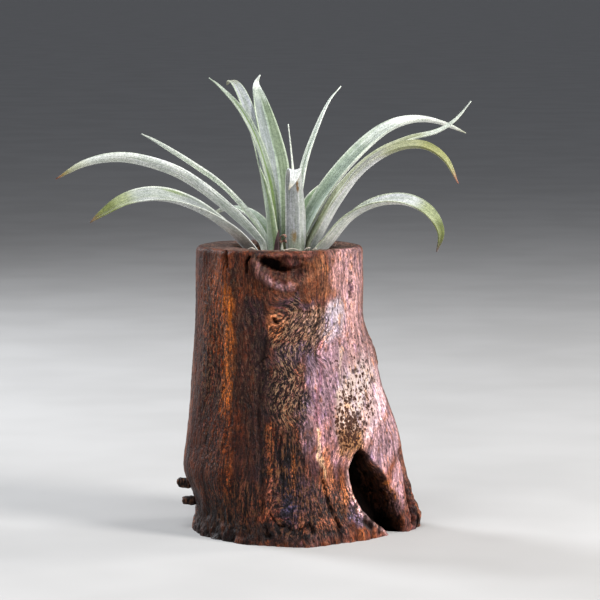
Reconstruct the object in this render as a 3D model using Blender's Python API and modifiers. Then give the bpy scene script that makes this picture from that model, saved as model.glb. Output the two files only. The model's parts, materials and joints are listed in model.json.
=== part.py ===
"""A small air plant standing in the bored hole of a weathered driftwood log.

Metres, +Z up. The origin is on the plane that the log stands on. Seen along +Y, the log's long root
reaches to the right, the plant's low leaves arch left and right, and its tall leaves lean left and back.
Every leaf grows in its own upright plane through the rosette's axis, from a sheath that wraps the stem.
"""
import math

import bmesh
import bpy
from mathutils import Matrix, Vector, noise

MM = 0.001

# Log, in millimetres: its silhouette left and right, and how far it reaches to the front and the back
LOG_HEIGHT = 76.0
LOG_LEFT = ((0, -28.8), (3, -28.2), (6, -27.8), (10, -28.8), (16, -31.2), (24, -30.4), (35, -29.3),
            (48, -28.3), (61, -27.7), (76, -27.5))
LOG_RIGHT = ((0, 32.0), (3, 32.4), (8, 30.7), (16, 28.2), (26, 26.4), (32, 24.3), (38, 22.1),
             (44, 20.7), (49, 19.5), (53, 18.0), (57, 17.0), (66, 16.8), (76, 16.5))
LOG_FRONT = ((0, -30.5), (10, -27.5), (30, -23.8), (50, -21.4), (65, -20.3), (76, -19.8))
LOG_BACK = ((0, 25.0), (20, 23.5), (45, 21.0), (76, 19.8))
PINCH_FRONT = ((0, 0.62), (16, 0.48), (34, 0.2), (50, 0.0), (76, 0.0))
PINCH_BACK = ((0, 0.36), (16, 0.3), (34, 0.12), (50, 0.0), (76, 0.0))
LOG_SIDES = 60
LOG_RINGS = 28
EDGE_ROUND = 1.2
GRAIN_WAVES = 11
GRAIN_DEPTH = 0.45
SWELL_DEPTH = 0.9

WOOD_COLOUR = (0.16, 0.075, 0.045)
STEM_COLOUR = (0.30, 0.24, 0.14)
LEAF_COLOUR = (0.44, 0.50, 0.42)

# Balls joined to the log and cut from it: centre and radii in millimetres, lean about Y and swing about Z
# in degrees, and sides
LOG_KNOBS = (
    ("knob_upper", (-30.4, -2.0, 12.4), (2.5, 1.7, 1.7), 0.0, 0.0, 12),
    ("knob_lower", (-29.3, -2.0, 7.6), (1.9, 1.4, 1.4), 0.0, 0.0, 12),
)
LOG_HOLLOWS = (
    ("knot_recess", (-3.6, -20.9, 70.2), (7.2, 3.4, 2.7), 4.0, 0.0, 16),
    ("root_hollow", (17.8, -15.0, 13.2), (4.7, 9.5, 10.8), -18.0, 24.0, 18),
    ("root_hollow_foot", (22.4, -10.6, 5.0), (4.2, 7.0, 5.8), -25.0, 30.0, 14),
    ("root_groove", (28.2, -5.6, 9.0), (0.8, 4.0, 7.0), -16.0, 20.0, 10),
    ("crack_left", (-19.4, -14.9, 72.6), (0.35, 1.6, 2.0), 0.0, 0.0, 8),
    ("crack_middle", (-14.0, -18.0, 70.4), (0.35, 1.6, 1.8), 0.0, 0.0, 8),
    ("slit_right", (13.4, -10.4, 65.0), (0.4, 1.6, 1.6), 8.0, 0.0, 8),
)
KNOT_BUMP = ("knot_bump", (-2.4, -18.6, 71.8), (2.6, 2.0, 2.1), 0.0, 0.0, 12)

# Bored hole and the rosette's axis, in millimetres
AXIS_X = -3.5
BORE_RADIUS = 13.8
BORE_FLOOR = 54.0
BORE_SIDES = 48

# Stem: radius and height up its turned outline, with the cone that the leaf sheaths stand on
STEM_PROFILE = ((0.0, 74.0), (1.2, 73.7), (2.0, 72.8), (2.2, 71.4), (3.4, 70.0), (5.6, 67.6), (7.9, 65.2),
                (8.0, 64.2), (6.4, 62.0), (4.4, 59.6), (3.4, 57.0), (3.2, 55.0), (2.6, 54.4), (0.0, 54.3))
STEM_SIDES = 32

# Leaf sheaths: rings round the stem, from the innermost out, a leaf's thickness and a clearance apart
RING_RADIUS = (2.9, 4.0, 5.1, 6.2, 7.3)
RING_FOOT = (71.4, 70.1, 68.9, 67.7, 66.5)

BLADE_THICKNESS = 0.78
MARGIN_THICKNESS = 0.62
TIP_WIDTH = 0.9
STATION_STEP = 2.6
STATIONS_LEAST = 8
STATIONS_MOST = 20
LEAF_COLUMNS = 5
BLADE_FROM = 0.3
SWAY_POWER = 4

# Each leaf: ring, azimuth in degrees (0 is right, 90 is away), half the arc that its sheath wraps,
# blade width in millimetres, turn of the channel across the blade in degrees, roll at foot and tip in
# degrees, sway at the tip, how late it tapers, the share of its length by which the sheath has opened
# into the blade, and the reach and height of its midrib
LEAVES = {
    "leaf_left_low": dict(ring=4, azimuth=200, wrap=33, width=10.2, turn=112, roll=(0, -34), taper=2.6, path=(
        (9.2, 72.0), (13.0, 76.8), (18.6, 81.8), (25.0, 85.9), (31.5, 88.6), (38.0, 89.6), (45.0, 88.6),
        (51.4, 85.4), (54.4, 83.5))),
    "leaf_left_long": dict(ring=3, azimuth=180, wrap=33, width=8.4, turn=130, roll=(0, 40), taper=2.6, path=(
        (6.6, 75.0), (8.6, 78.2), (15.1, 84.2), (23.1, 90.6), (31.3, 95.4), (42.9, 98.6), (53.0, 97.6),
        (61.4, 93.6))),
    "leaf_left_thin": dict(ring=2, azimuth=171.5, wrap=18, width=4.0, turn=100, roll=(0, 20), taper=4.0, path=(
        (5.5, 76.0), (7.9, 80.6), (12.6, 86.5), (18.2, 92.0), (27.0, 98.0), (35.0, 103.0), (39.2, 105.3))),
    "leaf_short_left": dict(ring=2, azimuth=219, wrap=15, width=5.8, turn=100, roll=(0, -10), taper=2.0,
                            path=(
        (5.4, 76.0), (6.0, 82.0), (6.7, 88.0), (7.8, 93.0), (9.2, 97.2))),
    "leaf_tall_narrow": dict(ring=0, azimuth=168, wrap=34, width=5.8, turn=95, roll=(0, -45), taper=1.4,
                             path=(
        (3.1, 78.0), (4.0, 87.0), (5.4, 94.6), (8.2, 103.6), (12.4, 111.6), (17.8, 117.6), (21.2, 120.3))),
    "leaf_tall_blunt": dict(ring=2, azimuth=133, wrap=17, width=4.8, turn=80, roll=(0, 0), sway=-6.2,
                            taper=9.0, blade_from=0.55, path=(
        (5.4, 77.0), (6.9, 86.0), (9.5, 96.0), (13.8, 105.4), (19.6, 113.4), (24.4, 117.6), (28.0, 118.6),
        (30.8, 117.6))),
    "leaf_tall_wide": dict(ring=1, azimuth=119, wrap=24, width=8.4, turn=80, roll=(0, 0), sway=-4.6,
                           taper=3.6, blade_from=0.5, path=(
        (4.1, 78.0), (4.8, 88.0), (7.8, 98.0), (13.2, 106.6), (19.4, 113.6), (24.2, 118.0), (23.4, 120.4))),
    "leaf_centre_spike": dict(ring=0, azimuth=340, wrap=24, width=3.4, turn=70, roll=(0, 0), taper=0.8, path=(
        (2.8, 78.0), (2.4, 88.0), (1.7, 97.0), (0.4, 108.2))),
    "leaf_tall_right": dict(ring=0, azimuth=50, wrap=22, width=3.4, turn=110, roll=(0, 0), taper=1.6, path=(
        (3.2, 78.0), (4.8, 87.0), (7.6, 97.4), (12.4, 106.4), (17.6, 113.6), (22.6, 117.6))),
    "leaf_right_high": dict(ring=1, azimuth=38.6, wrap=29, width=7.1, turn=120, roll=(0, 10), taper=4.6,
                            path=(
        (4.7, 76.0), (9.2, 83.8), (17.0, 92.6), (26.4, 100.4), (35.0, 105.4), (43.6, 107.5), (52.6, 107.0),
        (63.4, 103.8))),
    "leaf_right_wavy": dict(ring=2, azimuth=18.4, wrap=19, width=4.3, turn=110, roll=(0, 24), taper=2.4,
                            blade_from=0.6, path=(
        (5.8, 75.6), (9.3, 82.0), (15.6, 91.2), (24.8, 99.2), (34.2, 103.4), (42.4, 105.4), (47.8, 108.5),
        (52.4, 113.6))),
    "leaf_right_broad": dict(ring=3, azimuth=349, wrap=30, width=8.2, turn=110, roll=(0, 22), taper=2.8,
                             path=(
        (7.2, 74.6), (10.4, 80.4), (14.8, 88.2), (21.0, 96.2), (29.0, 101.4), (36.5, 102.5), (42.3, 99.2),
        (46.0, 93.0))),
    "leaf_right_low": dict(ring=4, azimuth=335, wrap=30, width=8.6, turn=115, roll=(0, 28), taper=2.8, path=(
        (9.0, 72.6), (13.4, 77.4), (19.0, 83.6), (26.0, 87.4), (34.1, 88.4), (40.6, 85.9), (44.0, 81.0),
        (43.2, 75.8))),
    "leaf_front_hooked": dict(ring=3, azimuth=295, wrap=19, width=6.4, turn=80, roll=(0, 0), sway=-6.0,
                              taper=4.0, path=(
        (6.4, 75.0), (6.9, 84.0), (7.7, 91.4), (9.6, 95.8), (12.6, 96.4), (14.6, 94.4), (15.4, 92.0))),
    "leaf_back_low": dict(ring=4, azimuth=92, wrap=31, width=7.4, turn=110, roll=(0, 0), path=(
        (8.8, 73.0), (13.0, 79.0), (20.0, 84.6), (28.0, 87.0), (36.0, 85.4), (43.0, 80.6))),
    "leaf_back_right": dict(ring=3, azimuth=66, wrap=27, width=6.6, turn=110, roll=(0, 0), path=(
        (7.0, 74.6), (11.0, 80.6), (18.0, 86.4), (27.0, 89.8), (35.0, 89.4), (42.6, 85.4))),
    "leaf_back_left": dict(ring=3, azimuth=124, wrap=19, width=5.6, turn=110, roll=(0, 0), path=(
        (7.0, 74.6), (11.4, 79.4), (18.0, 82.8), (26.0, 84.0), (34.0, 82.6), (41.0, 78.4))),
    "leaf_back_short": dict(ring=2, azimuth=87, wrap=14, width=4.0, turn=100, roll=(0, 0), path=(
        (5.5, 76.0), (7.4, 82.0), (10.6, 87.0), (15.0, 90.2), (20.0, 91.0))),
    "withered_leaf": dict(ring=3, azimuth=246, wrap=12, width=2.4, turn=90, roll=(0, 60), sway=0.4,
                          colour=(0.16, 0.07, 0.06), path=(
        (6.3, 73.0), (6.4, 77.0), (6.0, 80.6))),
    "dry_stub": dict(ring=4, azimuth=260, wrap=6, width=1.5, turn=60, roll=(0, 0), colour=(0.62, 0.58, 0.50),
                     path=(
        (7.4, 71.0), (7.4, 75.0), (7.0, 77.8))),
}


def make_collection(name):
    collection = bpy.data.collections.new(name)
    bpy.context.scene.collection.children.link(collection)
    return collection


def make_material(name, colour, roughness, metallic=0.0):
    material = bpy.data.materials.new(name)
    material.use_nodes = True
    shader = material.node_tree.nodes["Principled BSDF"]
    shader.inputs["Base Color"].default_value = (*colour, 1.0)
    shader.inputs["Roughness"].default_value = roughness
    shader.inputs["Metallic"].default_value = metallic
    material.diffuse_color = (*colour, 1.0)
    return material


def add_object(name, mesh, collection, material=None):
    obj = bpy.data.objects.new(name, mesh)
    collection.objects.link(obj)
    if material:
        mesh.materials.append(material)
    return obj


def mesh_from(bm, name):
    mesh = bpy.data.meshes.new(name)
    bm.to_mesh(mesh)
    bm.free()
    return mesh


def read_curve(points, at):
    """Value at a height, from a list of (height, value), by a smooth curve through the points."""
    heights = [p[0] for p in points]
    values = [p[1] for p in points]
    last = len(points) - 2
    i = max(0, min(last, sum(h <= at for h in heights) - 1))
    before, after = max(0, i - 1), min(last + 1, i + 2)
    span = heights[i + 1] - heights[i]
    t = max(0.0, min(1.0, (at - heights[i]) / span))
    slope_in = (values[i + 1] - values[before]) / (heights[i + 1] - heights[before]) * span
    slope_out = (values[after] - values[i]) / (heights[after] - heights[i]) * span
    return (values[i] * (2 * t**3 - 3 * t**2 + 1) + slope_in * (t**3 - 2 * t**2 + t)
            + values[i + 1] * (3 * t**2 - 2 * t**3) + slope_out * (t**3 - t**2))


def smooth_path(points, count):
    """Points at even steps along a smooth curve through the given ones."""
    spine = [Vector(p) for p in points]
    spine = [2 * spine[0] - spine[1]] + spine + [2 * spine[-1] - spine[-2]]
    dense = []
    steps = 24
    for a, b, c, d in zip(spine, spine[1:], spine[2:], spine[3:]):
        for k in range(steps):
            t = k / steps
            dense.append(0.5 * (2 * b + (c - a) * t + (2 * a - 5 * b + 4 * c - d) * t**2
                                + (3 * b - a - 3 * c + d) * t**3))
    dense.append(spine[-2])
    travelled = [0.0]
    for p, q in zip(dense, dense[1:]):
        travelled.append(travelled[-1] + (q - p).length)
    result = []
    j = 0
    for k in range(count):
        goal = travelled[-1] * k / (count - 1)
        while j < len(dense) - 2 and travelled[j + 1] < goal:
            j += 1
        t = (goal - travelled[j]) / (travelled[j + 1] - travelled[j])
        result.append(dense[j].lerp(dense[j + 1], t))
    return result


def blend(start, end, t):
    t = max(0.0, min(1.0, t))
    return start + (end - start) * t * t * (3 - 2 * t)


def leaf_sections(leaf, stations, columns):
    """Rows of (upper, lower) points in metres, from the foot of a leaf to its tip."""
    ring = leaf["ring"]
    foot = RING_RADIUS[ring]
    azimuth = math.radians(leaf["azimuth"])
    outward = Vector((math.cos(azimuth), math.sin(azimuth), 0.0))
    sideways = Vector((-math.sin(azimuth), math.cos(azimuth), 0.0))
    path = ((foot, RING_FOOT[ring]), *leaf["path"])
    centre = []
    for k, (reach, height) in enumerate(smooth_path(path, stations)):
        along = k / (stations - 1)
        swing = leaf.get("sway", 0.0) * along**SWAY_POWER
        place = Vector((AXIS_X, 0.0, height)) + outward * reach + sideways * swing
        centre.append(place)
    rows = []
    for k, place in enumerate(centre):
        along = k / (stations - 1)
        tangent = (centre[min(k + 1, stations - 1)] - centre[max(k - 1, 0)]).normalized()
        side = (sideways - tangent * sideways.dot(tangent)).normalized()
        roll = math.radians(blend(leaf["roll"][0], leaf["roll"][1], along))
        side = Matrix.Rotation(roll, 3, tangent) @ side
        inward = tangent.cross(side)
        wrap = math.radians(2 * leaf["wrap"])
        opened = along / leaf.get("blade_from", BLADE_FROM)
        full = blend(wrap * foot, leaf["width"], opened)
        width = max(TIP_WIDTH, full * (1.0 - along**leaf.get("taper", 2.4)) ** 0.85)
        turn = blend(wrap, math.radians(leaf["turn"]), opened)
        radius = width / turn
        row = []
        for c in range(columns):
            across = 2.0 * c / (columns - 1) - 1.0
            angle = turn * across / 2
            middle = place + side * radius * math.sin(angle) + inward * radius * (1 - math.cos(angle))
            normal = inward * math.cos(angle) - side * math.sin(angle)
            half = (BLADE_THICKNESS + (MARGIN_THICKNESS - BLADE_THICKNESS) * abs(across)) / 2
            row.append(((middle + normal * half) * MM, (middle - normal * half) * MM))
        rows.append(row)
    return rows


def leaf_mesh(name, leaf):
    """A closed blade: an inner and an outer face split alike into triangles, two margins, foot and tip."""
    path = leaf["path"]
    length = sum(math.dist(a, b) for a, b in zip(path, path[1:]))
    stations = max(STATIONS_LEAST, min(STATIONS_MOST, round(length / STATION_STEP)))
    columns = LEAF_COLUMNS
    bm = bmesh.new()
    upper, lower = [], []
    for row in leaf_sections(leaf, stations, columns):
        upper.append([bm.verts.new(pair[0]) for pair in row])
        lower.append([bm.verts.new(pair[1]) for pair in row])

    def split(a, b, c, d):
        bm.faces.new((a, b, c))
        bm.faces.new((a, c, d))

    for k in range(stations - 1):
        for c in range(columns - 1):
            split(upper[k][c], upper[k][c + 1], upper[k + 1][c + 1], upper[k + 1][c])
            bm.faces.new((lower[k][c], lower[k + 1][c + 1], lower[k][c + 1]))
            bm.faces.new((lower[k][c], lower[k + 1][c], lower[k + 1][c + 1]))
        split(lower[k][0], upper[k][0], upper[k + 1][0], lower[k + 1][0])
        split(upper[k][-1], lower[k][-1], lower[k + 1][-1], upper[k + 1][-1])
    for c in range(columns - 1):
        split(upper[0][c], lower[0][c], lower[0][c + 1], upper[0][c + 1])
        split(lower[-1][c], upper[-1][c], upper[-1][c + 1], lower[-1][c + 1])
    bmesh.ops.recalc_face_normals(bm, faces=bm.faces)
    mesh = mesh_from(bm, name)
    mesh.shade_smooth()
    mesh.set_sharp_from_angle(angle=math.radians(50))
    return mesh


def log_point(angle, height):
    """A point of the log's skin, in metres, from its angle round the trunk and its height in millimetres."""
    left, right = read_curve(LOG_LEFT, height), read_curve(LOG_RIGHT, height)
    cos, sin = math.cos(angle), math.sin(angle)
    reach, pinching = (LOG_BACK, PINCH_BACK) if sin > 0 else (LOG_FRONT, PINCH_FRONT)
    depth = abs(read_curve(reach, height))
    pinch = 1.0 - read_curve(pinching, height) * max(0.0, cos) ** 1.3
    swell = noise.noise(Vector((cos * 1.3, sin * 1.3, height / 24.0))) * SWELL_DEPTH
    grain = math.sin(GRAIN_WAVES * angle + 2.0 * noise.noise(Vector((cos, sin, height / 30.0))))
    depth_share = abs(sin)
    proud = (swell + grain * GRAIN_DEPTH) * depth_share
    rounding = max(0.0, height - (LOG_HEIGHT - EDGE_ROUND)) / EDGE_ROUND
    proud -= EDGE_ROUND * (1.0 - math.sqrt(max(0.0, 1.0 - rounding**2)))
    x = (left + right) / 2 + ((right - left) / 2 + proud) * cos
    y = (depth * pinch + proud) * sin
    return Vector((x, y, height)) * MM


def log_body():
    """The trunk: a closed cylinder cut into rings, each vertex then placed on the log's skin."""
    bm = bmesh.new()
    bmesh.ops.create_cone(bm, cap_ends=True, segments=LOG_SIDES, radius1=1.0, radius2=1.0, depth=2.0)
    upright = [e for e in bm.edges if abs(e.verts[0].co.z - e.verts[1].co.z) > 1.0]
    bmesh.ops.subdivide_edges(bm, edges=upright, cuts=LOG_RINGS - 1, use_grid_fill=True)
    for vertex in bm.verts:
        share = (vertex.co.z + 1.0) / 2
        height = LOG_HEIGHT * (1.0 - (1.0 - share) ** 1.12)
        vertex.co = log_point(math.atan2(vertex.co.y, vertex.co.x), height)
    bmesh.ops.triangulate(bm, faces=bm.faces)
    return mesh_from(bm, "driftwood_log")


def ellipsoid(name, centre, radii, lean=0.0, swing=0.0, segments=12):
    """A stretched ball in millimetres, leaned about Y and then swung about Z by some degrees."""
    bm = bmesh.new()
    bmesh.ops.create_uvsphere(bm, u_segments=segments, v_segments=segments // 2 + 1, radius=1.0)
    bmesh.ops.scale(bm, verts=bm.verts, vec=Vector(radii) * MM)
    bmesh.ops.rotate(bm, verts=bm.verts, matrix=Matrix.Rotation(math.radians(lean), 3, "Y"))
    bmesh.ops.rotate(bm, verts=bm.verts, matrix=Matrix.Rotation(math.radians(swing), 3, "Z"))
    bmesh.ops.translate(bm, verts=bm.verts, vec=Vector(centre) * MM)
    return mesh_from(bm, name)


def bore_mesh():
    top = LOG_HEIGHT + 5.0
    bm = bmesh.new()
    bmesh.ops.create_cone(bm, cap_ends=True, segments=BORE_SIDES, radius1=BORE_RADIUS * MM,
                          radius2=BORE_RADIUS * MM, depth=(top - BORE_FLOOR) * MM)
    bmesh.ops.translate(bm, verts=bm.verts, vec=Vector((AXIS_X, 0.0, (top + BORE_FLOOR) / 2)) * MM)
    return mesh_from(bm, "cut_bore")


def make_log(parts, cutters):
    """The trunk with its bore, knot, cracks, the hollow between its roots, and the knobs at its foot."""
    log = add_object("driftwood_log", log_body(), parts, make_material("driftwood_log", WOOD_COLOUR, 0.6))
    steps = [("UNION", ellipsoid(*shape)) for shape in LOG_KNOBS]
    steps.append(("DIFFERENCE", bore_mesh()))
    steps += [("DIFFERENCE", ellipsoid(*shape)) for shape in LOG_HOLLOWS]
    steps.append(("UNION", ellipsoid(*KNOT_BUMP)))
    for operation, mesh in steps:
        tool = add_object(mesh.name, mesh, cutters)
        tool.hide_render = True
        tool.display_type = "WIRE"
        modifier = log.modifiers.new(tool.name, "BOOLEAN")
        modifier.operation = operation
        modifier.solver = "EXACT"
        modifier.object = tool
    log.data.shade_smooth()
    return log


def make_stem(parts):
    """A profile turned about the rosette's axis."""
    bm = bmesh.new()
    outline = [bm.verts.new(Vector((r, 0.0, z)) * MM) for r, z in STEM_PROFILE]
    for a, b in zip(outline, outline[1:]):
        bm.edges.new((a, b))
    stem = add_object("stem", mesh_from(bm, "stem"), parts, make_material("stem", STEM_COLOUR, 0.8))
    stem.location.x = AXIS_X * MM
    screw = stem.modifiers.new("turn", "SCREW")
    screw.steps = screw.render_steps = STEM_SIDES
    screw.use_merge_vertices = True
    screw.merge_threshold = 0.00001
    screw.use_smooth_shade = True
    return stem


def make_leaves(parts):
    for name, leaf in LEAVES.items():
        material = make_material(name, leaf.get("colour", LEAF_COLOUR), 0.6)
        add_object(name, leaf_mesh(name, leaf), parts, material)


def main():
    for obj in list(bpy.data.objects):
        bpy.data.objects.remove(obj, do_unlink=True)
    parts = make_collection("air_plant")
    cutters = make_collection("cutters")
    make_log(parts, cutters)
    make_stem(parts)
    make_leaves(parts)


main()
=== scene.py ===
"""How the air plant looks: its fine log, leaves and stem, their materials, the floor, the light and the camera.

The log and the leaves follow the same curves as the solids that they stand for, in millimetres, with the
fine relief and the colours that those solids leave out.
"""
import json
import math
import random

import bmesh
import bpy
import numpy as np
from mathutils import Matrix, Vector, noise

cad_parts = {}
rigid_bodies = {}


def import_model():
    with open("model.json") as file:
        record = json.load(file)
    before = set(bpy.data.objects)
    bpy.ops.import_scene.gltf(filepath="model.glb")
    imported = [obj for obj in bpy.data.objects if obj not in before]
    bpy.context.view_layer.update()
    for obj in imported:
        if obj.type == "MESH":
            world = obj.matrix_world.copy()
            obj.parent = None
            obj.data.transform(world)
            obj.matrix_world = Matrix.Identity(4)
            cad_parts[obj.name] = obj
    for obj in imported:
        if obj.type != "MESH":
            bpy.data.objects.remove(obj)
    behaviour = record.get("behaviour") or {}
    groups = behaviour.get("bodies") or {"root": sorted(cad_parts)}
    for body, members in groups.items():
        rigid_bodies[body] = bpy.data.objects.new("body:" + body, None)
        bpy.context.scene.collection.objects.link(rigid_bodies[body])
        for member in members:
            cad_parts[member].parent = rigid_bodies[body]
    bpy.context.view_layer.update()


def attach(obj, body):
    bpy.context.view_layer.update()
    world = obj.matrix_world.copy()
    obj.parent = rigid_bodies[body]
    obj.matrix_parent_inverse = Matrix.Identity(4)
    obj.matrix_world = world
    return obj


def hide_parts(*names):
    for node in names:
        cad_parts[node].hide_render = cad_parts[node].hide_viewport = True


MM = 0.001

# Log outline, in millimetres
LOG_HEIGHT = 76.0
LOG_LEFT = ((0, -28.8), (3, -28.2), (6, -27.8), (10, -28.8), (16, -31.2), (24, -30.4), (35, -29.3),
            (48, -28.3), (61, -27.7), (76, -27.5))
LOG_RIGHT = ((0, 32.0), (3, 32.4), (8, 30.7), (16, 28.2), (26, 26.4), (32, 24.3), (38, 22.1),
             (44, 20.7), (49, 19.5), (53, 18.0), (57, 17.0), (66, 16.8), (76, 16.5))
LOG_FRONT = ((0, -30.5), (10, -27.5), (30, -23.8), (50, -21.4), (65, -20.3), (76, -19.8))
LOG_BACK = ((0, 25.0), (20, 23.5), (45, 21.0), (76, 19.8))
PINCH_FRONT = ((0, 0.62), (16, 0.48), (34, 0.2), (50, 0.0), (76, 0.0))
PINCH_BACK = ((0, 0.36), (16, 0.3), (34, 0.12), (50, 0.0), (76, 0.0))
EDGE_ROUND = 1.2
GRAIN_WAVES = 11
GRAIN_DEPTH = 0.45
SWELL_DEPTH = 0.9
COLUMNS = 336
WALL_ROWS = 216
RIM_ROWS = 22
BORE_ROWS = 34
FLOOR_ROWS = 5

AXIS_X = -3.5
BORE_RADIUS = 13.8
BORE_FLOOR = 54.0

STEM_PROFILE = ((0.0, 74.0), (1.2, 73.7), (2.0, 72.8), (2.2, 71.4), (3.4, 70.0), (5.6, 67.6), (7.9, 65.2),
                (8.0, 64.2), (6.4, 62.0), (4.4, 59.6), (3.4, 57.0), (3.2, 55.0), (2.6, 54.4), (0.0, 54.3))

RING_RADIUS = (2.9, 4.0, 5.1, 6.2, 7.3)
RING_FOOT = (71.4, 70.1, 68.9, 67.7, 66.5)
BLADE_THICKNESS = 0.66
MARGIN_THICKNESS = 0.2
TIP_WIDTH = 0.3
BLADE_FROM = 0.3
SWAY_POWER = 4

SILVER = (205, 210, 206)
WHITE = (232, 234, 230)
GREY_GREEN = (140, 158, 138)

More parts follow.
